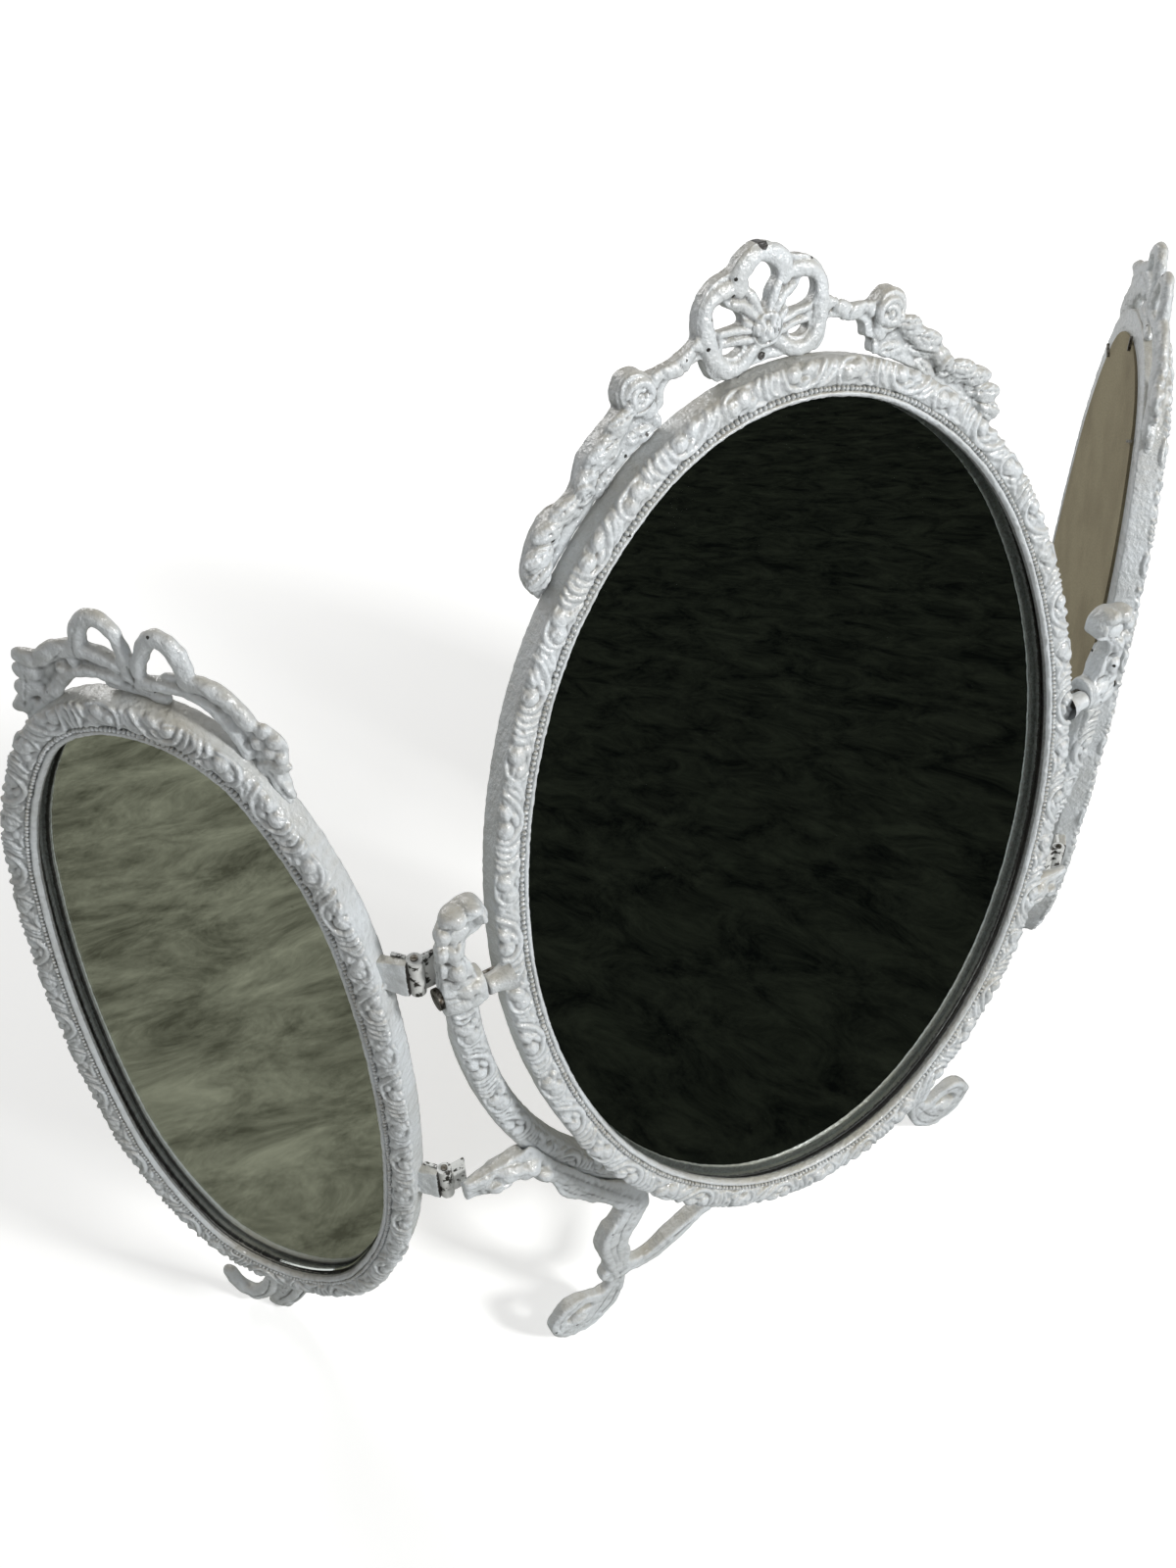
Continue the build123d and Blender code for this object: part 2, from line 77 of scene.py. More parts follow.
def wingPlace(side):
    origin = (side * layout["hingeOut"], standY + layout["hingeBack"], layout["pivotHeight"])
    return placeAt(origin, (cos(fold), side * sin(fold), 0), (side * sin(fold), -cos(fold), 0), layout["wingFront"])


# sRGB hex to the linear colour that a shader takes
def hexColour(code):
    parts = [int(code[i:i + 2], 16) / 255 for i in (1, 3, 5)]
    return tuple(c / 12.92 if c <= 0.04045 else ((c + 0.055) / 1.055) ** 2.4 for c in parts) + (1.0,)


# adds a node; an input is a value or another node's output, and stops are a ramp's (place, colour) pairs
def addNode(material, kind, settings=None, inputs=None, stops=None):
    node = material.node_tree.nodes.new(kind)
    for name, value in (settings or {}).items():
        setattr(node, name, value)
    for name, value in (inputs or {}).items():
        if isinstance(value, bpy.types.NodeSocket):
            material.node_tree.links.new(value, node.inputs[name])
        else:
            node.inputs[name].default_value = value
    if stops:
        while len(node.color_ramp.elements) < len(stops):
            node.color_ramp.elements.new(0.5)
        for element, (at, colour) in zip(node.color_ramp.elements, stops):
            element.position = at
            element.color = colour if isinstance(colour, tuple) else (colour, colour, colour, 1)
    return node


def startMaterial(name):
    material = bpy.data.materials.new(name)
    material.use_nodes = True
    material.node_tree.nodes.clear()
    return material


enamel = {
    "white": "#d3d8db", "aged": "#c3c6c6", "hollowShade": "#979b9d", "grimeAndShade": "#625e56", "dustAndTopShade": "#a8a498",
    "iron": "#24211e", "brushMm": 2.4, "mottleMm": 24.0, "grimeMm": 1.3, "roughness": 0.36, "glaze": 0.7, "glazeRough": 0.12,
}


# brushed gloss enamel on cast iron: broken wavy highlights from its bump, painted grey shade in the hollows with patchy
# grime in the deepest of them, a darker tone on upward faces that is painted shade and settled dust, small dark chips
def brushedEnamel(name, wear=0.0, shadeAndDirt=1.0):
    material = startMaterial(name)
    points = addNode(material, "ShaderNodeTexCoord").outputs["Object"]
    hollowShadeAndGrime = addNode(material, "ShaderNodeAttribute", {"attribute_name": "hollowShadeAndGrime"}).outputs["Fac"]
    chipAndSeatShadow = addNode(material, "ShaderNodeAttribute", {"attribute_name": "chipAndSeatShadow"}).outputs["Fac"]
    dustAndTopShade = addNode(material, "ShaderNodeAttribute", {"attribute_name": "dustAndTopShade"}).outputs["Fac"]
    mottle = addNode(material, "ShaderNodeTexNoise", None,
                     {"Vector": points, "Scale": 1 / (enamel["mottleMm"] * mm), "Detail": 4.0, "Roughness": 0.6})
    aged = addNode(material, "ShaderNodeValToRGB", None, {"Fac": mottle.outputs["Fac"]}, [(0.40, 0.0), (0.70, 1.0)])
    speck = addNode(material, "ShaderNodeTexNoise", None,
                    {"Vector": points, "Scale": 1 / (enamel["grimeMm"] * mm), "Detail": 5.0, "Roughness": 0.7})
    body = addNode(material, "ShaderNodeMix", {"data_type": "RGBA"},
                   {0: aged.outputs["Color"], 6: hexColour(enamel["white"]), 7: hexColour(enamel["aged"])})
    # painted shade: the hollows turn grey by how deep they are
    shade = addNode(material, "ShaderNodeValToRGB", None, {"Fac": hollowShadeAndGrime}, [(0.05, 0.0), (0.65, shadeAndDirt)])
    hollowShaded = addNode(material, "ShaderNodeMix", {"data_type": "RGBA"},
                     {0: shade.outputs["Color"], 6: body.outputs[2], 7: hexColour(enamel["hollowShade"])})
    # the deepest hollows get a patchy dark grime colour, real grime and painted shade in one
    deep = addNode(material, "ShaderNodeValToRGB", None, {"Fac": hollowShadeAndGrime}, [(0.45, 0.0), (1.0, shadeAndDirt)])
    patchy = addNode(material, "ShaderNodeValToRGB", None, {"Fac": speck.outputs["Fac"]}, [(0.36, 0.15), (0.62, 1.0)])
    grimeAndShadeShare = addNode(material, "ShaderNodeMath", {"operation": "MULTIPLY"},
                         {0: deep.outputs["Color"], 1: patchy.outputs["Color"]})
    grimedAndShaded = addNode(material, "ShaderNodeMix", {"data_type": "RGBA"},
                    {0: grimeAndShadeShare.outputs[0], 6: hollowShaded.outputs[2], 7: hexColour(enamel["grimeAndShade"])})
    # painted shade on upward faces, also standing for settled dust: they turn darker beige by the upward mark
    dustAndTopShadeShare = addNode(material, "ShaderNodeMath", {"operation": "MULTIPLY"}, {0: dustAndTopShade, 1: mottle.outputs["Fac"]})
    dustedAndTopShaded = addNode(material, "ShaderNodeMix", {"data_type": "RGBA"},
                    {0: dustAndTopShadeShare.outputs[0], 6: grimedAndShaded.outputs[2], 7: hexColour(enamel["dustAndTopShade"])})
    ragged = addNode(material, "ShaderNodeMath", {"operation": "MULTIPLY_ADD"},
                     {0: speck.outputs["Fac"], 1: 0.8, 2: wear - 0.4})
    worn = addNode(material, "ShaderNodeMath", {"operation": "ADD"}, {0: chipAndSeatShadow, 1: ragged.outputs[0]})
    bare = addNode(material, "ShaderNodeValToRGB", None, {"Fac": worn.outputs[0]}, [(0.44, 0.0), (0.50, 1.0)])
    colour = addNode(material, "ShaderNodeMix", {"data_type": "RGBA"},
                     {0: bare.outputs["Color"], 6: dustedAndTopShaded.outputs[2], 7: hexColour(enamel["iron"])})
    streak = addNode(material, "ShaderNodeTexNoise", None,
                     {"Vector": points, "Scale": 1 / (enamel["brushMm"] * mm), "Detail": 3.0, "Roughness": 0.55})
    wavy = addNode(material, "ShaderNodeBump", None,
                   {"Height": streak.outputs["Fac"], "Strength": 1.0, "Distance": 0.9 * mm})
    edge = addNode(material, "ShaderNodeBump", {"invert": True},
                   {"Height": bare.outputs["Color"], "Normal": wavy.outputs[0], "Strength": 0.5, "Distance": 0.2 * mm})
    gloss = addNode(material, "ShaderNodeMapRange", None,
                    {"Value": speck.outputs["Fac"], "To Min": enamel["roughness"] - 0.05, "To Max": enamel["roughness"] + 0.14})
    dull = addNode(material, "ShaderNodeMath", {"operation": "MAXIMUM"},
                   {0: bare.outputs["Color"], 1: deep.outputs["Color"]})
    glaze = addNode(material, "ShaderNodeMath", {"operation": "MULTIPLY_ADD"},
                    {0: dull.outputs[0], 1: -enamel["glaze"], 2: enamel["glaze"]})
    shader = addNode(material, "ShaderNodeBsdfPrincipled", None,
                     {"Base Color": colour.outputs[2], "Roughness": gloss.outputs[0], "Normal": edge.outputs[0],
                      "Coat Weight": glaze.outputs[0], "Coat Roughness": enamel["glazeRough"], "Coat Normal": edge.outputs[0]})
    addNode(material, "ShaderNodeOutputMaterial", None, {"Surface": shader.outputs[0]})
    return material


hingeSteel = {"black": "#1c1a17", "rubbed": "#5a5751", "paint": "#d4d5d2", "patchMm": 3.6, "roughness": 0.42}


# blackened pressed steel with old enamel on it: dark metal lines between patches of white
def blackenedSteel(name):
    material = startMaterial(name)
    points = addNode(material, "ShaderNodeTexCoord").outputs["Object"]
    patches = addNode(material, "ShaderNodeTexNoise", None,
                      {"Vector": points, "Scale": 1 / (hingeSteel["patchMm"] * mm), "Detail": 5.0, "Roughness": 0.65})
    share = addNode(material, "ShaderNodeValToRGB", None, {"Fac": patches.outputs["Fac"]}, [(0.41, 0.0), (0.46, 1.0)])
    rub = addNode(material, "ShaderNodeValToRGB", None, {"Fac": patches.outputs["Fac"]}, [(0.28, 1.0), (0.45, 0.0)])
    metal = addNode(material, "ShaderNodeMix", {"data_type": "RGBA"},
                    {0: rub.outputs["Color"], 6: hexColour(hingeSteel["black"]), 7: hexColour(hingeSteel["rubbed"])})
    colour = addNode(material, "ShaderNodeMix", {"data_type": "RGBA"},
                     {0: share.outputs["Color"], 6: metal.outputs[2], 7: hexColour(hingeSteel["paint"])})
    metalness = addNode(material, "ShaderNodeMath", {"operation": "MULTIPLY_ADD"},
                        {0: share.outputs["Color"], 1: -0.7, 2: 0.7})
    lift = addNode(material, "ShaderNodeBump", None,
                   {"Height": share.outputs["Color"], "Strength": 0.6, "Distance": 0.2 * mm})
    shader = addNode(material, "ShaderNodeBsdfPrincipled", None,
                     {"Base Color": colour.outputs[2], "Metallic": metalness.outputs[0],
                      "Roughness": hingeSteel["roughness"], "Normal": lift.outputs[0]})
    addNode(material, "ShaderNodeOutputMaterial", None, {"Surface": shader.outputs[0]})
    return material


screwSteel = {"steel": "#76736c", "rust": "#3a332b", "pitMm": 1.6, "roughness": 0.38}


# turned mild steel gone dull: grey metal with brown in its pits
def turnedSteel(name):
    material = startMaterial(name)
    points = addNode(material, "ShaderNodeTexCoord").outputs["Object"]
    pits = addNode(material, "ShaderNodeTexNoise", None,
                   {"Vector": points, "Scale": 1 / (screwSteel["pitMm"] * mm), "Detail": 4.0})
    share = addNode(material, "ShaderNodeValToRGB", None, {"Fac": pits.outputs["Fac"]}, [(0.42, 0.0), (0.62, 1.0)])
    colour = addNode(material, "ShaderNodeMix", {"data_type": "RGBA"},
                     {0: share.outputs["Color"], 6: hexColour(screwSteel["steel"]), 7: hexColour(screwSteel["rust"])})
    rough = addNode(material, "ShaderNodeBump", None,
                    {"Height": pits.outputs["Fac"], "Strength": 0.3, "Distance": 0.1 * mm})
    shader = addNode(material, "ShaderNodeBsdfPrincipled", None,
                     {"Base Color": colour.outputs[2], "Metallic": 1.0, "Roughness": screwSteel["roughness"],
                      "Normal": rough.outputs[0]})
    addNode(material, "ShaderNodeOutputMaterial", None, {"Surface": shader.outputs[0]})
    return material


floatGlass = {"tint": "#f5f9f6", "ior": 1.52}


# polished clear sheet glass: sharp reflections, a little green where it is looked through edgeways
def clearGlass(name):
    material = startMaterial(name)
    shader = addNode(material, "ShaderNodeBsdfPrincipled", None,
                     {"Base Color": hexColour(floatGlass["tint"]), "Roughness": 0.0, "IOR": floatGlass["ior"],
                      "Transmission Weight": 1.0})
    addNode(material, "ShaderNodeOutputMaterial", None, {"Surface": shader.outputs[0]})
    return material


silvering = {"silver": "#eceeec", "tarnish": "#4b463c", "spotGapMm": 26.0, "filmMm": 40.0}


# wet-silvered coat on the back of old glass: a true mirror with a faint cloudy film and a few dark spots
def wetSilver(name):
    material = startMaterial(name)
    points = addNode(material, "ShaderNodeTexCoord").outputs["Object"]
    film = addNode(material, "ShaderNodeTexNoise", None,
                   {"Vector": points, "Scale": 1 / (silvering["filmMm"] * mm), "Detail": 6.0, "Roughness": 0.7})
    spots = addNode(material, "ShaderNodeTexVoronoi", None,
                    {"Vector": points, "Scale": 1 / (silvering["spotGapMm"] * mm)})
    spotShare = addNode(material, "ShaderNodeValToRGB", None, {"Fac": spots.outputs["Distance"]}, [(0.0, 0.5), (0.035, 0.0)])
    colour = addNode(material, "ShaderNodeMix", {"data_type": "RGBA"},
                     {0: spotShare.outputs["Color"], 6: hexColour(silvering["silver"]), 7: hexColour(silvering["tarnish"])})
    cloud = addNode(material, "ShaderNodeMapRange", None,
                    {"Value": film.outputs["Fac"], "From Min": 0.45, "From Max": 0.8, "To Min": 0.0, "To Max": 0.02})
    shader = addNode(material, "ShaderNodeBsdfPrincipled", None,
                     {"Base Color": colour.outputs[2], "Metallic": 1.0, "Roughness": cloud.outputs[0]})
    addNode(material, "ShaderNodeOutputMaterial", None, {"Surface": shader.outputs[0]})
    return material


backBoard = {"light": "#a1987c", "dark": "#7d745b", "stain": "#655a44", "fibreMm": 0.9, "stainMm": 34.0, "roughness": 0.82}


# pressed wood-pulp board: drab and matt, felted fibres, darker stains
def pulpBoard(name):
    material = startMaterial(name)
    points = addNode(material, "ShaderNodeTexCoord").outputs["Object"]
    fibres = addNode(material, "ShaderNodeTexNoise", None,
                     {"Vector": points, "Scale": 1 / (backBoard["fibreMm"] * mm), "Detail": 6.0, "Roughness": 0.75})
    stains = addNode(material, "ShaderNodeTexNoise", None,
                     {"Vector": points, "Scale": 1 / (backBoard["stainMm"] * mm), "Detail": 4.0})
    fine = addNode(material, "ShaderNodeValToRGB", None, {"Fac": fibres.outputs["Fac"]}, [(0.3, 0.0), (0.7, 1.0)])
    cloudy = addNode(material, "ShaderNodeValToRGB", None, {"Fac": stains.outputs["Fac"]}, [(0.4, 0.0), (0.75, 0.6)])
    grain = addNode(material, "ShaderNodeMix", {"data_type": "RGBA"},
                    {0: fine.outputs["Color"], 6: hexColour(backBoard["dark"]), 7: hexColour(backBoard["light"])})
    colour = addNode(material, "ShaderNodeMix", {"data_type": "RGBA"},
                     {0: cloudy.outputs["Color"], 6: grain.outputs[2], 7: hexColour(backBoard["stain"])})
    felt = addNode(material, "ShaderNodeBump", None,
                   {"Height": fibres.outputs["Fac"], "Strength": 0.4, "Distance": 0.15 * mm})
    shader = addNode(material, "ShaderNodeBsdfPrincipled", None,
                     {"Base Color": colour.outputs[2], "Roughness": backBoard["roughness"], "Normal": felt.outputs[0]})
    addNode(material, "ShaderNodeOutputMaterial", None, {"Surface": shader.outputs[0]})
    return material


enamelPaint = brushedEnamel("brushedGlossEnamelOnCastIron")
wornEnamel = brushedEnamel("rubbedEnamelOnCastIron", wear=0.1)
paintedSteel = blackenedSteel("blackenedPressedSteel")
plainSteel = turnedSteel("turnedMildSteel")
glassPane = clearGlass("polishedSheetGlass")
silverCoat = wetSilver("wetSilveredCoat")
boardPulp = pulpBoard("pressedPulpBoard")
print("materials made")


# a CAD node keeps its shape and takes a material
def dressNode(node, material):
    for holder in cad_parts[node].material_slots:
        holder.material = material


# room coordinates of points drawn in a piece's own millimetres
def toRoom(points, where):
    return (np.c_[np.asarray(points, float), np.ones(len(points))] @ np.array(where).T)[:, :3]


# volume enclosed by faces given as quads or triangles, negative when they face inward
def enclosed(points, faces):
    a, b, c = (points[faces[:, i]] for i in (0, 1, 2))
    volume = np.einsum("ij,ij->i", a, np.cross(b, c)).sum()
    if faces.shape[1] == 4:
        d = points[faces[:, 3]]
        volume += np.einsum("ij,ij->i", a, np.cross(c, d)).sum()
    return volume


# one finished piece, riding a body; groups are (points, faces) lists in the piece's own millimetres
def makePiece(name, groups, where, material, body, attributes=None):
    points, faces, start = [], [], 0
    for groupPoints, groupFaces in groups:
        groupPoints, groupFaces = np.asarray(groupPoints, float), np.asarray(groupFaces)
        if enclosed(groupPoints, groupFaces) < 0:
            groupFaces = groupFaces[:, ::-1]
        points.append(groupPoints)
        faces += [tuple(dict.fromkeys(face)) for face in (groupFaces + start).tolist()]
        start += len(groupPoints)
    mesh = bpy.data.meshes.new(name)
    mesh.from_pydata(toRoom(np.vstack(points), where), [], faces)
    mesh.materials.append(material)
    upward = np.empty(len(mesh.vertices) * 3, np.float32)
    mesh.vertex_normals.foreach_get("vector", upward)
    # upward-facing points are marked to turn darker: painted shade on top faces, also standing for settled dust
    marks = {"dustAndTopShade": np.clip(upward[2::3] * 2.5 - 0.8, 0, 1.7)} | (attributes or {})
    for key, values in marks.items():
        mesh.attributes.new(key, "FLOAT", "POINT").data.foreach_set("value", np.asarray(values, np.float32))
    mesh.shade_smooth()
    mesh.validate()
    piece = bpy.data.objects.new(name, mesh)
    scene.collection.objects.link(piece)
    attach(piece, body)
    return piece


# evenly spaced points of a smooth curve through a few points, whatever else each point carries
def curveThrough(points, step=0.6, closed=False):
    p = np.asarray(points, float)
    p = np.vstack([p[-1], p, p[:2]]) if closed else np.vstack([2 * p[0] - p[1], p, 2 * p[-1] - p[-2]])
    out = []
    for i in range(1, len(p) - 2):
        a, b, c, d = p[i - 1:i + 3]
        n = max(2, int(np.linalg.norm((c - b)[:2]) / step) + 1)
        t = np.linspace(0, 1, n, endpoint=False)[:, None]
        out.append(0.5 * (2 * b + (c - a) * t + (2 * a - 5 * b + 4 * c - d) * t ** 2 + (3 * b - a - 3 * c + d) * t ** 3))
    if not closed:
        out.append(p[-2][None])
    return np.vstack(out)


# smooth seeded noise from -1 to 1 with lumps of a given size
def softNoise(points, size, seed):
    q = np.asarray(points, float) / size
    cell = np.floor(q).astype(np.int64)
    f = q - cell
    f = f * f * (3 - 2 * f)
    total = 0
    for corner in np.ndindex(*(2,) * q.shape[1]):
        key = ((cell + np.array(corner)) * np.array([374761393, 668265263, 982451653][:q.shape[1]])).sum(1) + seed * 14426950
        key = ((key ^ (key >> 13)) * 1274126177) & 0x7FFFFFFF
        value = ((key ^ (key >> 16)) & 0xFFFF) / 32767.5 - 1
        total = total + value * np.prod(np.where(np.array(corner) == 1, f, 1 - f), axis=1)
    return total


# quads of a grid, closed on itself where it wraps
def gridFaces(rows, columns, wrapRows=True, wrapColumns=True):
    i = np.arange(rows if wrapRows else rows - 1)[:, None]
    j = np.arange(columns if wrapColumns else columns - 1)[None, :]
    a, b = i * columns + j, i * columns + (j + 1) % columns
    c, d = ((i + 1) % rows) * columns + (j + 1) % columns, ((i + 1) % rows) * columns + j
    return np.stack([a, d, c, b], -1).reshape(-1, 4)


# the arcs of a three-radius oval: centre x and y, radius, start angle, sweep
def ovalArcs(halfW, halfH, share, sideTurn, endTurn):
    low, high, endR = radians(sideTurn), radians(endTurn), share * halfW
    rise, across = halfH - endR + endR * sin(high), halfW - endR * cos(high)
    near, far = sin(high) - sin(low), cos(low) - cos(high)
    scale = -sin(low) * far + near * (1 - cos(low))
    sideR = (-rise * far + near * across) / scale
    shoulderR = (-sin(low) * across + (1 - cos(low)) * rise) / scale
    inX, inY = -(shoulderR - endR) * cos(high), halfH - endR - (shoulderR - endR) * sin(high)
    arcs = []
    for way, start in ((1, 0), (-1, pi)):
        arcs.append((way * (halfW - sideR), 0, sideR, start - low, 2 * low))
        arcs.append((way * inX, way * inY, shoulderR, start + low, high - low))
        arcs.append((0, way * (halfH - endR), endR, start + high, pi - 2 * high))
        arcs.append((-way * inX, way * inY, shoulderR, start + pi - high, high - low))
    return arcs


# even steps along the oval, anticlockwise from its right side
def ovalWalk(arcs, spacing, first=0.0, last=2 * pi):
    spans = []
    for lap in (-1, 0, 1):
        for x, y, radius, start, sweep in arcs:
            a, b = max(first, start + lap * 2 * pi), min(last, start + sweep + lap * 2 * pi)
            if b > a + 1e-9:
                spans.append((a, b, x, y, radius))
    spans.sort()
    spans = np.array(spans)
    edges = np.r_[0, np.cumsum((spans[:, 1] - spans[:, 0]) * spans[:, 4])]
    whole = last - first > 6.28
    run = np.linspace(0, edges[-1], int(round(edges[-1] / spacing)), endpoint=not whole)
    which = np.clip(np.searchsorted(edges, run, side="right") - 1, 0, len(spans) - 1)
    angle = spans[which, 0] + (run - edges[which]) / spans[which, 4]
    return {"middle": spans[which, 2:4], "radius": spans[which, 4], "way": np.c_[np.cos(angle), np.sin(angle)],
            "run": run, "length": edges[-1]}


# run length and distance inside the outline for any points near the oval
def ovalCoordinates(arcs, flat):
    run, inside = np.zeros(len(flat)), np.full(len(flat), 1e9)
    passed = -arcs[0][4] / 2 * arcs[0][2]
    for x, y, radius, start, sweep in arcs:
        turn = (np.arctan2(flat[:, 1] - y, flat[:, 0] - x) - start) % (2 * pi)
        here = turn <= sweep + 1e-6
        run[here] = passed + turn[here] * radius
        inside[here] = (radius - np.hypot(flat[:, 0] - x, flat[:, 1] - y))[here]
        passed += sweep * radius
    return run, inside


# the cast relief, drawn on a 9.8 mm band: a curled leaf and a ribbed shell by turns, 26.3 mm each
relief = {"unit": 26.3, "band": 9.8, "rise": 1.0, "loose": 0.25, "grooveDepth": 0.75}
curledLeaf = {
    "ridges": [  # half width, height, points along and across the band
        (1.15, 1.15, [(3.2, 0.4), (5.0, 3.4), (8.2, 6.6), (12.4, 8.6), (17.2, 8.9), (21.2, 7.2), (23.1, 4.2), (22.8, 0.8)]),
        (1.0, 0.9, [(0.2, 5.0), (2.8, 7.6), (6.4, 9.2)]),
        (0.8, 0.8, [(1.4, 2.2), (3.4, 5.4), (6.0, 7.4)]),
        (0.9, 0.85, [(25.2, 0.6), (26.2, 3.4), (25.8, 6.4), (24.4, 9.2)]),
    ],
    "domes": [(11.2, 2.4, 3.4, 2.1, 0.45, 1.45), (18.0, 3.4, 3.2, 3.1, 0.0, 1.75), (14.2, 6.2, 3.0, 1.4, 0.2, 1.3)],
    "grooves": [(0.42, [(7.6, 0.4), (10.6, 3.0), (14.4, 4.9), (17.6, 6.6), (20.6, 5.8)]), (0.35, [(14.8, 0.4), (15.4, 2.6)]),
                (0.32, [(19.8, 1.4), (17.2, 2.0), (16.4, 4.0), (18.2, 5.2)])],
}
ribbedShell = {
    "ridges": [
        (0.95, 1.15, [(0.8, 0.4), (2.6, 2.8), (2.5, 5.6), (0.8, 8.2)]),
        (0.95, 1.2, [(3.8, 0.4), (5.6, 2.8), (5.4, 5.6), (3.6, 8.6)]),
        (0.9, 1.15, [(6.8, 0.4), (8.4, 2.6), (8.2, 5.0)]),
        (1.0, 0.95, [(5.8, 9.0), (9.6, 8.4), (13.0, 9.3)]),
        (0.9, 1.05, [(11.4, 0.7), (16.6, 0.1), (21.4, 0.9), (23.8, 3.6), (23.7, 6.8), (21.6, 9.2)]),
        (0.8, 0.75, [(25.2, 1.0), (26.2, 3.6), (25.8, 6.2)]),
    ],
    "domes": [(14.6, 4.0, 3.5, 3.2, 0.4, 1.7), (19.6, 5.4, 3.4, 3.0, -0.3, 1.75), (11.6, 6.8, 2.2, 1.4, 0.3, 1.3)],
    "grooves": [(0.38, [(11.2, 3.0), (13.8, 6.0), (18.0, 8.8)]), (0.32, [(21.6, 3.6), (18.6, 3.8), (17.8, 6.2), (19.8, 7.4)])],
}


# height of the relief on a grid of run lengths by places across the band
def reliefGrid(run, band, length, phase=0.0, leafFirst=True, mirrored=False, seed=1, units=None, plump=1.0):
    rng = np.random.default_rng(seed)
    height = np.zeros((len(run), len(band)))
    units = units or 2 * max(1, int(round(length / relief["unit"] / 2)))
    unitLength = length / units
    for k in range(units):
        local = (run - phase - k * unitLength + length / 2) % length - length / 2
        near = np.where((local > -2.0) & (local < unitLength + 2.0))[0]
        if len(near) == 0:
            continue
        along = local[near] / unitLength * relief["unit"]
        along = relief["unit"] - along if mirrored else along
        gridS, gridD = np.meshgrid(along, band, indexing="ij")
        unit = curledLeaf if (k % 2 == 0) == leafFirst else ribbedShell
        cell = np.zeros_like(gridS)
        for x, y, rx, ry, turn, high in unit["domes"]:
            x, y, turn = x + rng.normal(0, 0.35), y + rng.normal(0, 0.2), turn + rng.normal(0, 0.12)
            u = (gridS - x) * cos(turn) + (gridD - y) * sin(turn)
            v = (gridD - y) * cos(turn) - (gridS - x) * sin(turn)
            swell = np.clip(1 - (u / rx) ** 2 - (v / ry) ** 2, 0, 1) ** 0.42
            cell = np.maximum(cell, high * plump * rng.uniform(0.86, 1.08) * swell)
        for halfWidth, high, points in unit["ridges"]:
            line = curveThrough(np.array(points) + rng.normal(0, relief["loose"], (len(points), 2)), 0.45)
            t = np.linspace(0, 1, len(line))
            w = halfWidth * (0.5 + 0.5 * np.sin(pi * (0.07 + 0.86 * t)) ** 0.5) * rng.uniform(0.92, 1.12)
            gap2 = (gridS[..., None] - line[:, 0]) ** 2 + (gridD[..., None] - line[:, 1]) ** 2
            cell = np.maximum(cell, (high * rng.uniform(0.88, 1.1) * np.sqrt(np.clip(1 - gap2 / w ** 2, 0, 1))).max(-1))
        for halfWidth, points in unit["grooves"]:
            line = curveThrough(np.array(points) + rng.normal(0, relief["loose"], (len(points), 2)), 0.4)
            gap2 = ((gridS[..., None] - line[:, 0]) ** 2 + (gridD[..., None] - line[:, 1]) ** 2).min(-1)
            cell = cell - relief["grooveDepth"] * np.exp(-gap2 / halfWidth ** 2)
        height[near] = np.where(np.abs(cell) > np.abs(height[near]), cell, height[near])
    return height * relief["rise"]


# a few passes of a small blur both ways; the rows run round, the columns don't
def blurGrid(grid, passes):
    g = grid.copy()
    for _ in range(passes):
        g = (np.roll(g, 1, 0) + 2 * g + np.roll(g, -1, 0)) / 4
        g[:, 1:-1] = (g[:, :-2] + 2 * g[:, 1:-1] + g[:, 2:]) / 4
    return g


rim = {
    "crown": [(0.0, -5.6), (0.05, -4.6), (0.5, -3.6), (1.5, -2.75), (3.4, -2.2), (6.4, -2.1), (8.6, -2.5), (9.8, -3.1)],
    "beadSeat": [(10.0, -3.5), (10.6, -3.65), (11.6, -3.65), (12.1, -3.4)],
    "lip": [(12.3, -2.75), (12.9, -2.35), (13.6, -2.6), (14.15, -3.3), (14.45, -4.3), (14.5, -5.0)],
    "openingW": 14.5, "rebateW": 11.6, "glassFront": 5.9, "reliefFrom": 1.3,
    "stepMm": 0.6, "sag": 0.15, "seatShade": 0.85,
    "beadPitch": 2.3, "beadMiddle": 11.05, "beadLevel": -3.3, "beadRadii": (1.0, 1.12, 1.5),
}


# small half beads set close round the inside of the relief, no two quite alike
def beadRow(walk, seed):
    rng = np.random.default_rng(seed + 7)
    count = int(walk["length"] / rim["beadPitch"])
    pick = np.searchsorted(walk["run"], (np.arange(count) + 0.5) / count * walk["length"]) % len(walk["run"])
    climbs, sides = np.radians([-25, 8, 38, 66]), 9
    points, faces, hollowShadeAndGrime = [], [], []
    for k in pick:
        way = walk["way"][k]
        tangent = np.array([-way[1], way[0]])
        middle = walk["middle"][k] + way * (walk["radius"][k] - rim["beadMiddle"] + rng.normal(0, 0.08))
        longer, wide, tall = rng.uniform(0.85, 1.1, 3) * rim["beadRadii"]
        start = len(points)
        for row, climb in enumerate(climbs):
            for j in range(sides):
                turn = 2 * pi * j / sides
                flat = middle + tangent * cos(turn) * cos(climb) * longer + way * sin(turn) * cos(climb) * wide
                points.append((flat[0], flat[1], rim["beadLevel"] + sin(climb) * tall))
                # painted shade: each bead is darker toward its foot and at its underside
                hollowShadeAndGrime.append((0.8, 0.45, 0.1, 0.0)[row])
        points.append((middle[0], middle[1], rim["beadLevel"] + tall))
        points.append((middle[0], middle[1], rim["beadLevel"] - tall * 0.5))
        hollowShadeAndGrime += [0.0, 1.0]
        top, foot = start + len(climbs) * sides, start
        for j in range(sides):
            n = (j + 1) % sides
            for row in range(len(climbs) - 1):
                a, b = start + row * sides, start + (row + 1) * sides
                faces.append((a + j, a + n, b + n, b + j))
            faces.append((top - sides + j, top - sides + n, top, top))
            faces.append((foot + n, foot + j, top + 1, top + 1))
    return np.array(points), np.array(faces), np.array(hollowShadeAndGrime)


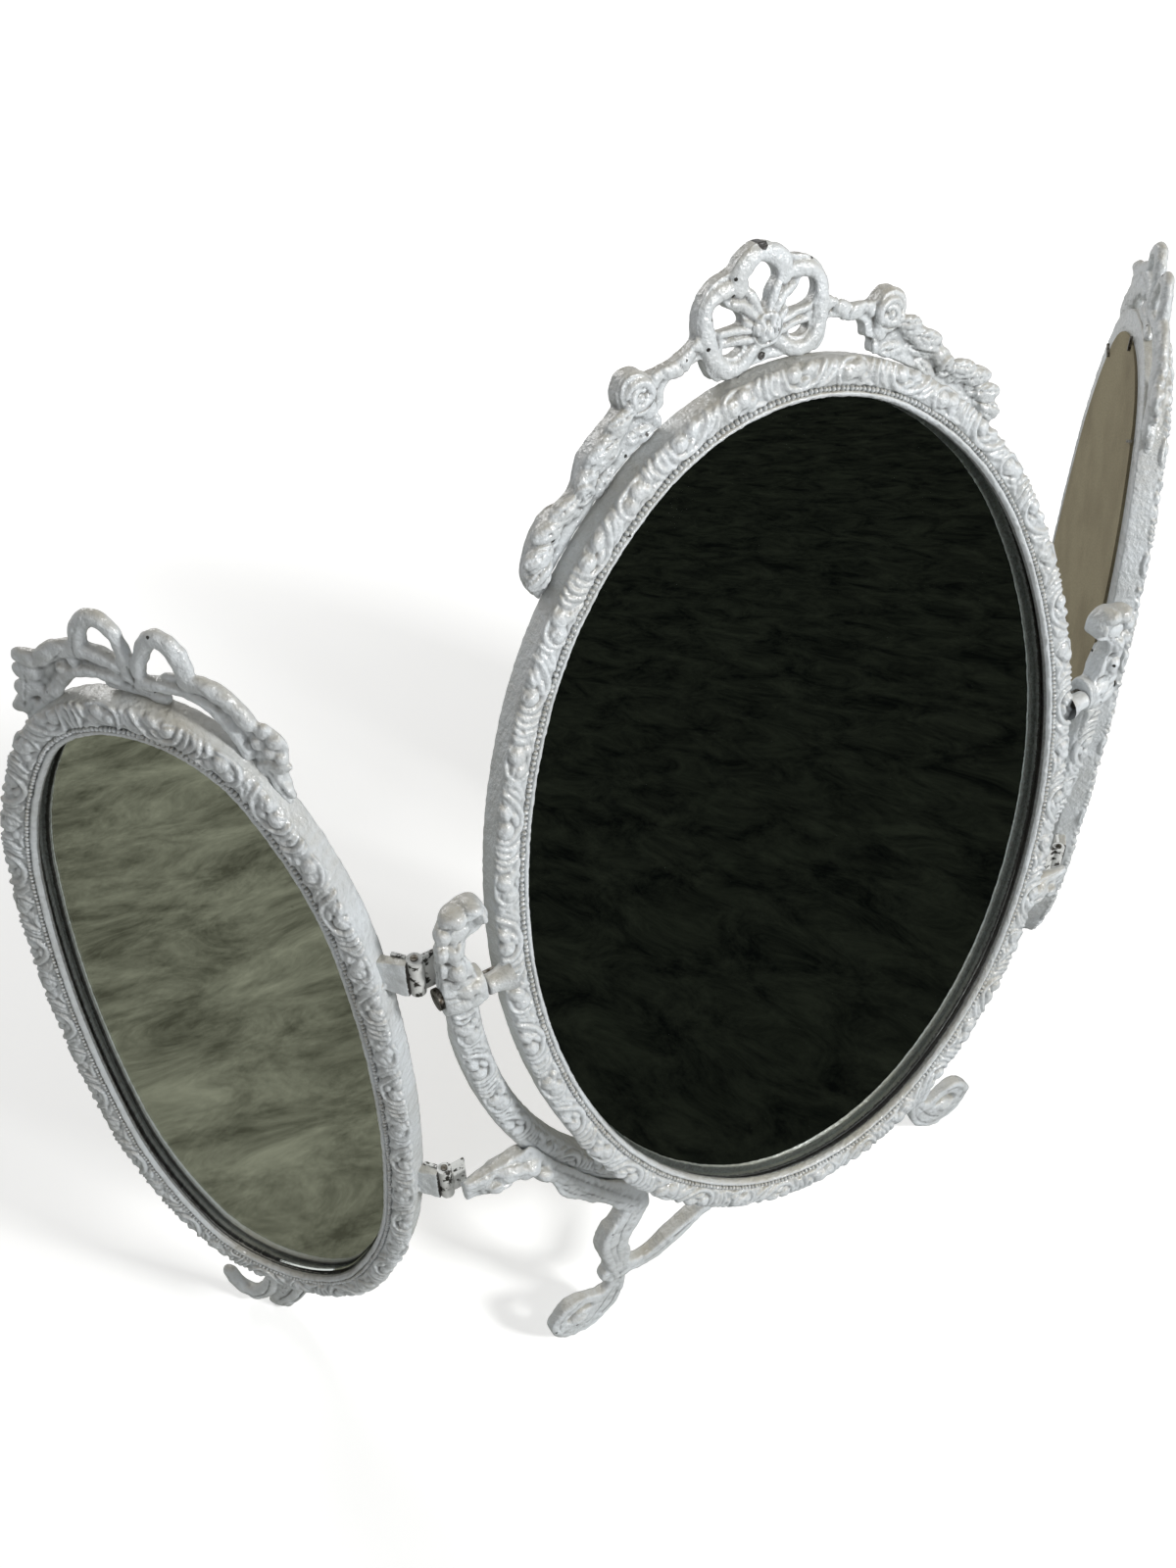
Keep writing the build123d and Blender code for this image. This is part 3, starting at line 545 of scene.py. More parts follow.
# a whole cast rim in one closed skin: relief band, bead seat, smooth lip, glass seat, rebate and back
def castRim(name, arcs, middle, where, body, node, seed, phase=0.0, leafFirst=True, mirrored=False, plump=1.0, sharp=1.0,
            seatShadowShare=1.0, chips=()):
    walk = ovalWalk(arcs, rim["stepMm"])
    crown, seat, lip = (curveThrough(rim[key], 0.42) for key in ("crown", "beadSeat", "lip"))
    depth, wall, front = layout["rimDepth"], rim["rebateW"], rim["glassFront"]
    back = np.array([(rim["openingW"], -front), (wall + 0.1, -front), (wall, -front - 0.1), (wall, -10.0),
                     (wall, -depth + 0.4), (wall - 0.4, -depth), (6.0, -depth), (0.8, -depth), (0.2, -depth + 0.2),
                     (0.0, -depth + 0.8), (0.0, -12.2), (0.0, -10.6), (0.0, -9.0), (0.0, -7.6), (0.0, -6.5)])
    section = np.vstack([crown, seat, lip, back])
    along = np.gradient(section, axis=0)
    normal = np.c_[-along[:, 1], along[:, 0]] / np.linalg.norm(along, axis=1)[:, None]
    if normal[len(crown) // 2, 1] < 0:
        normal = -normal
    crownRun = np.r_[0, np.cumsum(np.linalg.norm(np.diff(crown, axis=0), axis=1))]
    band = (crownRun - rim["reliefFrom"]) / (crownRun[-1] - rim["reliefFrom"]) * relief["band"]
    high = np.zeros((len(walk["run"]), len(section)))
    high[:, :len(crown)] = reliefGrid(walk["run"], band, walk["length"], phase, leafFirst, mirrored, seed, None, plump)
    high = blurGrid(high * sharp, 1)
    high[:, 0] = 0
    gridRun, gridRow = np.meshgrid(walk["run"], np.arange(len(section)) * 0.45, indexing="ij")
    spots = np.c_[gridRun.ravel(), gridRow.ravel()]
    sag = (softNoise(spots, 2.0, seed) + 0.7 * softNoise(spots, 6.0, seed + 1)).reshape(high.shape) * rim["sag"]
    flatBack = len(crown) + len(seat) + len(lip)
    sag[:, flatBack:flatBack + 6] = 0
    # painted shade: hollows of the relief get grey by how sunk they are, the bead seat a set grey and the lip almost
    # none
    hollowShadeAndGrime = np.clip(0.06 + (blurGrid(high, 10) - high) * 1.15, 0, 1)
    hollowShadeAndGrime[:, len(crown) - 1:len(crown) + len(seat)] = 0.45
    hollowShadeAndGrime[:, len(crown) + len(seat):] = 0.02
    # painted shade on the lip's lower wall and the glass seat, which also darkens the lit band seen again in the mirror
    hollowShadeAndGrime[:, flatBack - 3:flatBack + 5] = rim["seatShade"]
    shape = section[None] + normal[None] * (high + sag)[..., None]
    flat = (walk["radius"][:, None] - shape[..., 0])[..., None] * walk["way"][:, None, :] + walk["middle"][:, None, :]
    skin = np.concatenate([flat, shape[..., 1:2]], -1).reshape(-1, 3)
    beads, beadFaces, beadShade = beadRow(walk, seed)
    skin[:, :2] += middle
    beads[:, :2] += middle
    both = np.vstack([skin, beads])
    # painted shadow: a dark line at the glass seat and a dark band behind it, drawn in the chip colour where the rebate
    # gap lies in shade
    seatShadowRows = np.zeros(high.shape)
    seatShadowRows[:, flatBack] = seatShadowShare
    seatShadowRows[:, flatBack + 3:flatBack + 5] = 1.0
    chipAndSeatShadow = np.r_[seatShadowRows.ravel(), np.zeros(len(beads))]
    for x, y, radius in chips:
        chipAndSeatShadow = np.maximum(chipAndSeatShadow, np.clip(1.2 - np.hypot(both[:, 0] - x, both[:, 1] - y) / radius, 0, 1))
    piece = makePiece(name, [(skin, gridFaces(len(walk["run"]), len(section))), (beads, beadFaces)], where,
                      enamelPaint, body,
                      {"hollowShadeAndGrime": np.r_[hollowShadeAndGrime.ravel(), beadShade], "chipAndSeatShadow": chipAndSeatShadow})
    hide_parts(node)
    print(name, "cast,", len(both), "points")
    return piece


centreArcs = ovalArcs(150.0, 205.7, 0.762, 24.5, 54.7)
wingArcs = ovalArcs(85.0, 193.5, 0.710, 7.9, 30.9)
yokeArcs = ovalArcs(174.6, 228.3, 0.79, 25.2, 55.5)
centreMiddle = (0.0, -4.3)


def wingMiddle(side):
    return (side * 96.0, -64.0)


castRim("centreRim", centreArcs, centreMiddle, centrePlace, "centre", "centre_frame", 3, phase=17.96, leafFirst=False,
        seatShadowShare=0.3, chips=[(-71, 161, 0.8), (-34, 180, 0.8), (-21, 190, 0.7)])
for side, hand in ((-1, "left"), (1, "right")):
    castRim(hand + "WingRim", wingArcs, wingMiddle(side), wingPlace(side), hand + "_wing", hand + "_wing_frame",
            11 + side, mirrored=side < 0, plump=0.6, sharp=1.3)

# glass, its silver coat, board and brads
pane = {"edge": 11.9, "silverLevel": -9.86, "silverThick": 0.03}


# the silver coat just inside the back of the glass, as thin as a coat can be drawn
def silverSheet(name, arcs, middle, where, body):
    walk = ovalWalk(arcs, 2.0)
    edge = (walk["radius"] - pane["edge"] - 0.25)[:, None] * walk["way"] + walk["middle"] + middle
    count = len(edge)
    rings = []
    for level in (pane["silverLevel"], pane["silverLevel"] - pane["silverThick"]):
        for share in (0.0, 0.5, 1.0):
            rings.append(np.c_[edge * share + np.array(middle) * (1 - share), np.full(count, level)])
    order = [0, 1, 2, 5, 4, 3]
    points = np.vstack([rings[i] for i in order])
    piece = makePiece(name, [(points, gridFaces(6, count, wrapRows=False))], where, silverCoat, body)
    for polygon in piece.data.polygons:
        polygon.use_smooth = False
    return piece


for name, arcs, middle, where, body in (
        ("centre", centreArcs, centreMiddle, centrePlace, "centre"),
        ("left_wing", wingArcs, wingMiddle(-1), wingPlace(-1), "left_wing"),
        ("right_wing", wingArcs, wingMiddle(1), wingPlace(1), "right_wing")):
    silverSheet(name.replace("_wing", "Wing") + "Silver", arcs, middle, where, body)
    dressNode(name + "_glass", glassPane)
    dressNode(name + "_board", boardPulp)
    dressNode(name + "_brads", plainSteel)
print("mirrors glazed")


# a rounded rib along a curve, closed at both ends; each point is (x, y, level, half width, height)
def rib(points, step=1.1, sides=10, closed=False):
    line = curveThrough(points, step, closed)
    ahead = np.roll(line, -1, 0)[:, :2] - np.roll(line, 1, 0)[:, :2]
    if not closed:
        ahead[0], ahead[-1] = line[1, :2] - line[0, :2], line[-1, :2] - line[-2, :2]
    ahead /= np.linalg.norm(ahead, axis=1)[:, None] + 1e-9
    across = np.c_[-ahead[:, 1], ahead[:, 0]]
    swell = np.ones(len(line))
    if not closed:
        run = np.r_[0, np.cumsum(np.linalg.norm(np.diff(line[:, :2], axis=0), axis=1))]
        near = np.clip(np.minimum(run, run[-1] - run) / (line[:, 3] * 1.2) + 0.06, 0, 1)
        swell = np.sqrt(1 - (1 - near) ** 2)
    turn = np.arange(sides) * 2 * pi / sides
    wide, tall = (line[:, 3] * swell)[:, None] * np.cos(turn), (line[:, 4] * swell)[:, None] * np.sin(turn)
    ring = np.concatenate([line[:, None, :2] + across[:, None, :] * wide[..., None],
                           (line[:, 2:3] + tall)[..., None]], -1).reshape(-1, 3)
    faces = gridFaces(len(line), sides, wrapRows=closed).tolist()
    if not closed:
        faces += [list(range(sides)), list(range(len(ring) - 1, len(ring) - sides - 1, -1))]
    return ring, faces


# a rounded lump, longer one way than the other
def lump(x, y, level, rx, ry, rz, turn=0.0):
    rows, sides = 9, 16
    points = []
    for i in range(rows):
        climb = -pi / 2 + pi * (i + 0.5) / rows
        for j in range(sides):
            u, v = rx * cos(climb) * cos(2 * pi * j / sides), ry * cos(climb) * sin(2 * pi * j / sides)
            points.append((x + u * cos(turn) - v * sin(turn), y + u * sin(turn) + v * cos(turn), level + rz * sin(climb)))
    faces = gridFaces(rows, sides, wrapRows=False).tolist()
    faces += [list(range(sides)), list(range(len(points) - 1, len(points) - sides - 1, -1))]
    return np.array(points), faces


# a plate from a closed outline, drawn a little smaller at its front so that its edge is rounded
def plate(outline, back, front, soften=1.2):
    edge = curveThrough(outline, 1.2, closed=True)
    ahead = np.roll(edge, -1, 0) - np.roll(edge, 1, 0)
    inward = np.c_[-ahead[:, 1], ahead[:, 0]] / (np.linalg.norm(ahead, axis=1)[:, None] + 1e-9)
    area = np.sum(edge[:, 0] * np.roll(edge[:, 1], -1) - edge[:, 1] * np.roll(edge[:, 0], -1))
    inward = inward if area > 0 else -inward
    rings = [np.c_[edge + inward * pull, np.full(len(edge), level)]
             for pull, level in ((0.4, back), (0.0, back + 0.5), (0.0, front - soften), (soften * 0.35, front - soften * 0.3),
                                 (soften, front))]
    points = np.vstack(rings)
    faces = gridFaces(len(rings), len(edge), wrapRows=False).tolist()
    faces += [list(range(len(edge))), list(range(len(points) - 1, len(points) - len(edge) - 1, -1))]
    return points, faces


# a round part turned about a line along the piece's own x; profile is (along, radius)
def turned(profile, y, z, sides=40):
    turn = np.arange(sides) * 2 * pi / sides
    points = np.vstack([np.c_[np.full(sides, x), y + r * np.cos(turn), z + r * np.sin(turn)] for x, r in profile])
    faces = gridFaces(len(profile), sides, wrapRows=False).tolist()
    faces += [list(range(sides)), list(range(len(points) - 1, len(points) - sides - 1, -1))]
    return points, faces


# a block between two corners
def block(low, high):
    points = np.array([(x, y, z) for x in (low[0], high[0]) for y in (low[1], high[1]) for z in (low[2], high[2])])
    return points, [[0, 1, 3, 2], [4, 6, 7, 5], [0, 4, 5, 1], [2, 3, 7, 6], [0, 2, 6, 4], [1, 5, 7, 3]]


def mirrorX(groups):
    return [(points * (-1, 1, 1), faces) for points, faces in groups]


# a CAD node's solid in the piece's own millimetres, its front drawn back to leave room for carving
def nodeSolid(node, where, back, front, newFront):
    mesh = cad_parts[node].data
    points = np.empty(len(mesh.vertices) * 3)
    mesh.vertices.foreach_get("co", points)
    world = np.array(Matrix(where).inverted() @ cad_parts[node].matrix_world)
    points = (np.c_[points.reshape(-1, 3), np.ones(len(mesh.vertices))] @ world.T)[:, :3]
    points[:, 2] = back + (points[:, 2] - back) * (newFront - back) / (front - back)
    return points, [list(polygon.vertices) for polygon in mesh.polygons]


# mean of each point's neighbours, a share of the way, a few times
def relax(points, pairs, count, passes, share=0.6):
    degree = np.bincount(pairs[:, 0], minlength=count)[:, None]
    for _ in range(passes):
        near = np.stack([np.bincount(pairs[:, 0], points[pairs[:, 1], k], count) for k in range(3)], -1) / degree
        points = points + (near - points) * share
    return points


def pointNormals(points, faces):
    cross = np.cross(points[faces[:, 2]] - points[faces[:, 0]], points[faces[:, 3]] - points[faces[:, 1]])
    total = np.stack([sum(np.bincount(faces[:, c], cross[:, k], len(points)) for c in range(4)) for k in range(3)], -1)
    return total / (np.linalg.norm(total, axis=1)[:, None] + 1e-12)


# marks drawn on a casting's front, both halves alike: ridges, grooves and domes, as a height at each point
def drawnRelief(p, normal, marks):
    flat = np.c_[np.abs(p[:, 0]), p[:, 1]]
    height = np.zeros(len(p))
    for x, y, rx, ry, turn, high in marks["domes"]:
        u = (flat[:, 0] - x) * cos(turn) + (flat[:, 1] - y) * sin(turn)
        v = (flat[:, 1] - y) * cos(turn) - (flat[:, 0] - x) * sin(turn)
        height = np.maximum(height, high * np.clip(1 - (u / rx) ** 2 - (v / ry) ** 2, 0, 1) ** 0.5)
    for kind in ("ridges", "grooves"):
        for wide, high, points in marks[kind]:
            line = curveThrough(points, 0.7)
            inBox = (flat > line.min(0) - 2.5 * wide).all(1) & (flat < line.max(0) + 2.5 * wide).all(1)
            near = np.where(inBox)[0]
            if len(near) == 0:
                continue
            gap2 = ((flat[near, None, :] - line[None]) ** 2).sum(-1)
            which = gap2.argmin(1)
            gap2 = gap2[np.arange(len(near)), which]
            taper = 0.45 + 0.55 * np.sin(pi * np.clip(which / (len(line) - 1), 0.06, 0.94)) ** 0.5
            if kind == "ridges":
                swell = high * taper * np.sqrt(np.clip(1 - gap2 / (wide * taper) ** 2, 0, 1))
                height[near] = np.maximum(height[near], swell)
            else:
                height[near] -= high * taper * np.exp(-gap2 / wide ** 2)
    return height * np.clip((normal[:, 2] - 0.15) / 0.4, 0, 1)


# a rose: a rolled outer petal ring, an inner ring and a button
def roseMarks(x, y, radius):
    rings = []
    for share, sweep, start in ((0.78, 5.6, 0.4), (0.42, 5.2, 3.2)):
        turn = np.linspace(start, start + sweep, 12)
        rings.append((radius * 0.24, 1.5, [(x + radius * share * cos(a), y + radius * share * sin(a)) for a in turn]))
    return {"ridges": rings, "grooves": [], "domes": [(x, y, radius * 0.24, radius * 0.24, 0, 1.9)]}


# a veined leaf from its stalk to its tip
def leafMarks(x0, y0, x1, y1, width, high=1.3):
    long, turn = np.hypot(x1 - x0, y1 - y0), np.arctan2(y1 - y0, x1 - x0)
    along, across = np.array([cos(turn), sin(turn)]), np.array([-sin(turn), cos(turn)])
    root = np.array([x0, y0])
    veins = [(0.45, high * 0.75, [tuple(root + along * long * s) for s in (0.06, 0.4, 0.85)])]
    for share in (0.3, 0.55):
        for way in (-1, 1):
            fork = [root + along * long * (share + lift) + across * way * width * out
                    for lift, out in ((0.0, 0.03), (0.1, 0.2), (0.2, 0.34))]
            veins.append((0.36, high * 0.45, [tuple(point) for point in fork]))
    middle = root + along * long / 2
    return {"ridges": [], "grooves": veins, "domes": [(middle[0], middle[1], long * 0.54, width * 0.5, turn, high)]}


def gatherMarks(*sets):
    return {kind: [mark for one in sets for mark in one[kind]] for kind in ("ridges", "grooves", "domes")}


sandCast = {"voxel": 0.6, "passes": 3, "sagMm": 3.4, "sag": 0.16}


# joins rough solids into one skin, as a sand casting under many coats of paint is one skin
def castSolid(name, groups, where, body, nodes=(), seed=1, chips=(), carve=None, passes=None, material=None, slim=0.0,
              bend=None):
    raw = bpy.data.meshes.new(name + "Raw")
    points, faces, start = [], [], 0
    for groupPoints, groupFaces in groups:
        points.append(groupPoints)
        faces += [[v + start for v in face] for face in groupFaces]
        start += len(groupPoints)
    raw.from_pydata(np.vstack(points), [], faces)
    rough = bpy.data.objects.new(name + "Raw", raw)
    scene.collection.objects.link(rough)
    merge = rough.modifiers.new("merge", "REMESH")
    merge.mode = "VOXEL"
    merge.voxel_size = sandCast["voxel"]
    bpy.context.view_layer.update()
    skin = bpy.data.meshes.new_from_object(rough.evaluated_get(bpy.context.evaluated_depsgraph_get()))
    p = np.empty(len(skin.vertices) * 3)
    skin.vertices.foreach_get("co", p)
    p = p.reshape(-1, 3)
    corners = np.empty(len(skin.loops), np.int64)
    skin.loops.foreach_get("vertex_index", corners)
    quads = corners.reshape(-1, 4)
    bpy.data.objects.remove(rough)
    bpy.data.meshes.remove(raw)
    bpy.data.meshes.remove(skin)
    pairs = np.vstack([quads[:, [i, (i + 1) % 4]] for i in range(4)])
    pairs = np.vstack([pairs, pairs[:, ::-1]])
    p = relax(bend(p) if bend else p, pairs, len(p), passes or sandCast["passes"])
    normal = pointNormals(p, quads)
    if slim:
        p = p - normal * (slim * np.clip(1.4 - np.abs(normal[:, 2]) * 2, 0, 1))[:, None]
    if carve:
        p = p + normal * carve(p, normal)[:, None]
    p = p + normal * (softNoise(p, sandCast["sagMm"], seed) * sandCast["sag"])[:, None]
    normal = pointNormals(p, quads)
    # painted shade: points sunk below their smoothed neighbours get the hollow mark, grey in the enamel
    sunk = np.einsum("ij,ij->i", relax(p, pairs, len(p), 14) - p, normal)
    chipAndSeatShadow = np.zeros(len(p))
    for x, y, radius in chips:
        chipAndSeatShadow = np.maximum(chipAndSeatShadow, np.clip(1.2 - np.hypot(p[:, 0] - x, p[:, 1] - y) / radius, 0, 1))
    piece = makePiece(name, [(p, quads)], where, material or enamelPaint, body,
                      {"hollowShadeAndGrime": np.clip(0.06 + sunk * 1.9, 0, 1), "chipAndSeatShadow": chipAndSeatShadow})
    for node in nodes:
        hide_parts(node)
    print(name, "cast,", len(p), "points")
    return piece


# the yoke: a band with relief, and an acanthus scroll over each boss
yoke = {"reliefFrom": 1.2, "reliefTo": 12.4, "rise": 1.0, "units": 46, "reliefTop": -9, "lapTop": -112, "lapWide": 5.8}
finialMarks = {
    "ridges": [(1.6, 0.9, [(177.6, 40), (172, 46.4), (165, 49), (158.6, 46), (157, 40)]),
               (1.5, 0.9, [(166.0, 33), (171.4, 26), (167.2, 18), (172.0, 9.4), (166.0, 2)])],
    "grooves": [(0.6, 0.45, [(179, 33.6), (174.6, 34.0), (170.6, 31.4), (167.8, 32.6)]),
                (0.6, 0.45, [(180, 24.6), (175.4, 23.6), (171, 21.4), (167, 22.4)]),
                (0.6, 0.45, [(179, 13.8), (174.6, 14.2), (170.4, 12.2), (166, 11.4)]),
                (0.6, 0.45, [(177.4, 3.4), (172.4, 3.6), (168, 1.8), (163, 2.6)])],
    "domes": [(168, 45.4, 6.6, 3.4, 0.5, 0.9), (175, 38.6, 3.8, 3.8, 0, 1.3), (167.4, 36.2, 4.6, 3.6, -0.3, 1.2),
              (173.6, 28.4, 4.4, 4.6, 0.3, 1.4), (166.0, 27, 2.6, 4.6, 0, 0.9), (176, 19, 3.0, 4.5, 0, 1.2),
              (170, 17.8, 3.2, 3.4, 0, 1.5), (164.6, 15.6, 2.6, 5, 0, 1.0), (174, 8.6, 4.4, 4.4, -0.3, 1.3),
              (166.6, 6.2, 3.8, 4.2, 0.4, 1.3), (171, -2.4, 5.4, 3.8, 0.2, 1.1), (163.8, -3.6, 3, 4, 0, 0.9)],
}
finialLumps = [  # x, y, level and three radii: the scroll's leaves bulge at its sides too
    (174.6, 38.4, -1.0, 4.2, 4.6, 6.0), (169.0, 45.2, -1.0, 5.4, 4.0, 6.2), (161.4, 46.0, -1.0, 4.4, 4.0, 5.8),
    (157.6, 40.6, -1.0, 3.0, 4.2, 5.0), (168.6, 27, -1.0, 4.6, 7.0, 5.4), (169.6, 15, -1.0, 5.2, 8.0, 5.6),
    (176.4, 29.5, -1.0, 3.4, 4.6, 6.0), (162.4, 3, -1.0, 3.4, 5.6, 6.0),
]


def yokeRelief(p, normal):
    run, inside = ovalCoordinates(yokeArcs, p[:, :2])
    length = ovalWalk(yokeArcs, 1.0)["length"]
    runs, band = np.arange(0, length, 0.5), np.linspace(0, relief["band"], 40)
    grid = blurGrid(reliefGrid(runs, band, length, phase=(length / 2 + 33) % (length / yoke["units"]), seed=21,
                               units=yoke["units"]), 1)
    across = (inside - yoke["reliefFrom"]) / (yoke["reliefTo"] - yoke["reliefFrom"]) * (len(band) - 1)
    row = (run / length * len(runs)).astype(int) % len(runs)
    column = np.clip(across, 0, len(band) - 1.001)
    low = column.astype(int)
    value = grid[row, low] * (1 - (column - low)) + grid[row, low + 1] * (column - low)
    shown = (across > 0) & (across < len(band) - 1) & (normal[:, 2] > 0.25) & (p[:, 1] < yoke["reliefTop"])
    lapped = (p[:, 1] < yoke["lapTop"]) & (inside < yoke["lapWide"])
    scroll = drawnRelief(p, normal, finialMarks) * (p[:, 1] > yoke["reliefTop"])
    return np.where(shown & ~lapped, value * yoke["rise"], 0.0) + scroll


# the scroll's neck draws in on the side of the mirror
def slimNeck(points):
    away = np.abs(points[:, 0])
    share = np.clip(1 - np.abs(points[:, 1] - 23.5) / 13.0, 0, 1) ** 0.7 * np.clip((173 - away) / 11, 0, 1)
    points[:, 0] += np.sign(points[:, 0]) * share * 4.2
    outer = np.clip((np.abs(points[:, 0]) - 168.0) / 8.0, 0, 1) * np.clip((points[:, 1] + 30) / 12.0, 0, 1)
    points[:, 2] += (-1.0 - points[:, 2]) * outer * 0.5
    points[:, 0] -= np.sign(points[:, 0]) * np.clip(np.abs(points[:, 0]) - 174.5, 0, 9) * 0.5 * outer
    return points


finial = [lump(x, y, level, rx, ry, rz) for x, y, level, rx, ry, rz in finialLumps]
yokeGroups = [nodeSolid("yoke", standPlace, 0, 1, 0.8)] + finial + mirrorX(finial)
castSolid("yokeCasting", yokeGroups, standPlace, "stand", ["yoke"], seed=5, carve=yokeRelief, passes=7, bend=slimNeck,
          chips=[(-178, -2, 1.2), (168, 18, 1.0), (165, -2, 0.8)])

# the base: arm leaves, S legs, scroll feet and the arched brace
baseMarks = {
    "ridges": [(2.4, 0.9, [(176, -125), (156, -124.6), (143, -136), (121, -168), (102, -194), (90, -210)]),
               (2.0, 0.8, [(170, -138), (150, -139.5), (138, -153), (129, -170), (117, -190), (101, -208)]),
               (2.2, 0.9, [(95, -208), (102, -220), (107, -233), (107, -243), (104, -257), (101, -270)]),
               (2.0, 0.8, [(105, -271), (113, -275), (123, -274), (133, -277.5), (138.5, -286), (136, -297), (128, -303)]),
               (1.7, 0.7, [(98, -270), (98.5, -281), (103, -292), (112, -301), (121, -305)]),
               (1.6, 0.7, [(2, -237), (26, -244), (48, -255), (62, -264), (80, -272), (93, -270)]),
               (1.3, 0.6, [(14, -228), (30, -239), (50, -253.5), (69, -261.5), (84, -267)])],
    "grooves": [(0.6, 0.55, [(174, -131), (156, -131), (145, -142), (126, -170), (108, -194)]),
                (0.5, 0.45, [(140, -146), (133, -150), (128, -158)]), (0.5, 0.45, [(131, -160), (123, -165), (118, -174)]),
                (0.5, 0.45, [(124, -176), (115, -181), (109, -190)]), (0.5, 0.45, [(115, -193), (107, -197), (101, -205)]),
                (0.5, 0.45, [(92, -218), (98, -230), (101, -243), (99, -257)]),
                (0.6, 0.7, [(103, -278), (108, -286), (113, -293), (120, -299)]),
                (0.45, 0.5, [(100, -283), (106, -293), (114, -301)])],
    "domes": [(166, -132, 5.5, 4.5, 0.2, 0.9), (151, -133, 5.0, 4.0, -0.6, 0.8), (136, -151, 5.0, 3.6, -1.0, 0.7),
              (125, -168, 5.0, 3.6, -1.0, 0.8), (113, -186, 5.0, 3.8, -0.9, 0.7), (99, -206, 5.0, 4.0, -0.9, 0.7),
              (103, -234, 4.0, 6.0, 0.1, 0.8), (101, -262, 3.4, 4.6, 0.1, 0.7), (96, -271, 4.0, 3.6, 0.0, 0.8)],
}
armEnd = {"x": 166.0, "fade": 24.0, "y": -129.0, "half": 8.0, "level": 0.3, "deep": 6.0, "reach": 19.0, "draw": 0.28, "footThin": 0.32}
baseChips = [(-167, -133, 1.3), (-120, -189, 1.4), (-104, -226, 0.9), (-139, -290, 1.1), (-126, -296, 1.2), (-60, -259, 0.8),
             (131, -168, 1.0), (108, -240, 1.1), (141, -288, 1.0)]


# each arm's end goes from a block to a slimmer, nearly round bar, and the scroll feet are thinner than the legs
def roundArmEnd(points):
    share = np.clip((np.abs(points[:, 0]) - armEnd["x"]) / armEnd["fade"] + 1, 0, 1) ** 0.6
    up, out = (points[:, 1] - armEnd["y"]) / armEnd["half"], (points[:, 2] - armEnd["level"]) / armEnd["deep"]
    share = share * np.clip(armEnd["reach"] - np.abs(up) * armEnd["half"], 0, 6) / 6
    slimUp, out1 = np.clip(up, -1, 1), np.clip(out, -1, 1)
    points[:, 1] += (slimUp * np.sqrt(1 - out1 ** 2 / 2) - up) * share * armEnd["half"]
    points[:, 2] += (out1 * np.sqrt(1 - slimUp ** 2 / 2) - out) * share * armEnd["deep"]
    drawn = np.clip((np.abs(points[:, 0]) - 160.0) / 14.0, 0, 1) ** 1.5 * armEnd["draw"]
    points[:, 1] += (armEnd["y"] - points[:, 1]) * drawn
    points[:, 2] += (-0.6 - points[:, 2]) * drawn * 1.5
    thin = np.clip((-254.0 - points[:, 1]) / 14.0, 0, 1) * armEnd["footThin"]
    points[:, 2] += (2.5 - points[:, 2]) * thin
    return points


armLumps = [  # x, y, level and three radii: the arm's knob and the swellings of its leaves
    (164.6, -131.0, 5.2, 3.4, 3.2, 3.4), (168.6, -126.6, 0.6, 3.4, 4.4, 4.2), (156.6, -127.4, 2.2, 6.4, 5.4, 5.0),
    (147.2, -131.0, 2.6, 6.0, 6.0, 4.6), (160.0, -137.4, 1.2, 4.6, 3.0, 4.4), (140.4, -141.0, 3.0, 4.6, 4.2, 4.2),
]
armRelief = [lump(x, y, level, rx, ry, rz) for x, y, level, rx, ry, rz in armLumps]
footEye = [lump(124.5, -291.5, 3.6, 5.4, 2.0, 2.2, -0.25)]
baseGroups = [nodeSolid("base", standPlace, -2, 7, 6.3)] + footEye + mirrorX(footEye) + armRelief + mirrorX(armRelief)
castSolid("baseCasting", baseGroups, standPlace, "stand", ["base"], seed=6, chips=baseChips, passes=22,
          carve=lambda p, normal: 0.5 + drawnRelief(p, normal, baseMarks) + softNoise(p, 7.0, 61) * 0.4 + softNoise(p, 2.6, 62) * 0.28, bend=roundArmEnd)

# the bow, ribbon, roses and swags over the centre mirror
crest = {"back": -14.7, "front": -8.4, "drawnFront": -9.5, "slim": 0.5}
bowMarks = {
    "ridges": [
        (3.8, 1.7, [(0, 240.6), (5.4, 239.2), (9.6, 235.2), (9.8, 230)]),
        (3.4, 1.7, [(7, 231.4), (12, 231.6), (19, 230.8), (23.6, 226.6), (25, 220), (24.2, 212.6), (21.4, 206.4),
                    (16.6, 203.0), (11, 203.8), (7.2, 206.8), (3.4, 209.8)]),
        (2.0, 1.6, [(13.0, 226.2), (9.2, 224.6), (5.2, 220.4), (2.2, 216.4)]),
        (1.4, 1.3, [(10.6, 219.6), (7.4, 217.6), (4.4, 215.6)]),
        (1.6, 1.4, [(19.6, 217.2), (13.6, 216.6), (7.6, 215.2), (4.4, 213.8)]),
        (1.5, 1.3, [(17.6, 212.6), (12.6, 213.0), (7.0, 211.8), (3.6, 211.2)]),
        (2.0, 1.5, [(7.0, 229.6), (4.2, 225), (2.0, 220.4)]),
        (1.1, 1.6, [(2.6, 218.8), (5.4, 216.4), (5.8, 212.6), (3.6, 209.2), (0, 208.2)]),
        (0.9, 1.7, [(0, 215.8), (2.6, 214.6), (2.9, 212.0), (0.8, 210.6)]),
    ],
    "grooves": [(0.5, 0.5, [(22.6, 220), (22.0, 213), (18.4, 207.4)]),
                (0.5, 0.7, [(10.6, 222.6), (7.6, 220.6), (3.8, 216.8)]),
                (0.45, 0.6, [(18, 215.0), (12, 214.8), (6.6, 213.4)])],
    "domes": [(0, 213.2, 2.2, 2.4, 0, 1.9)],
}
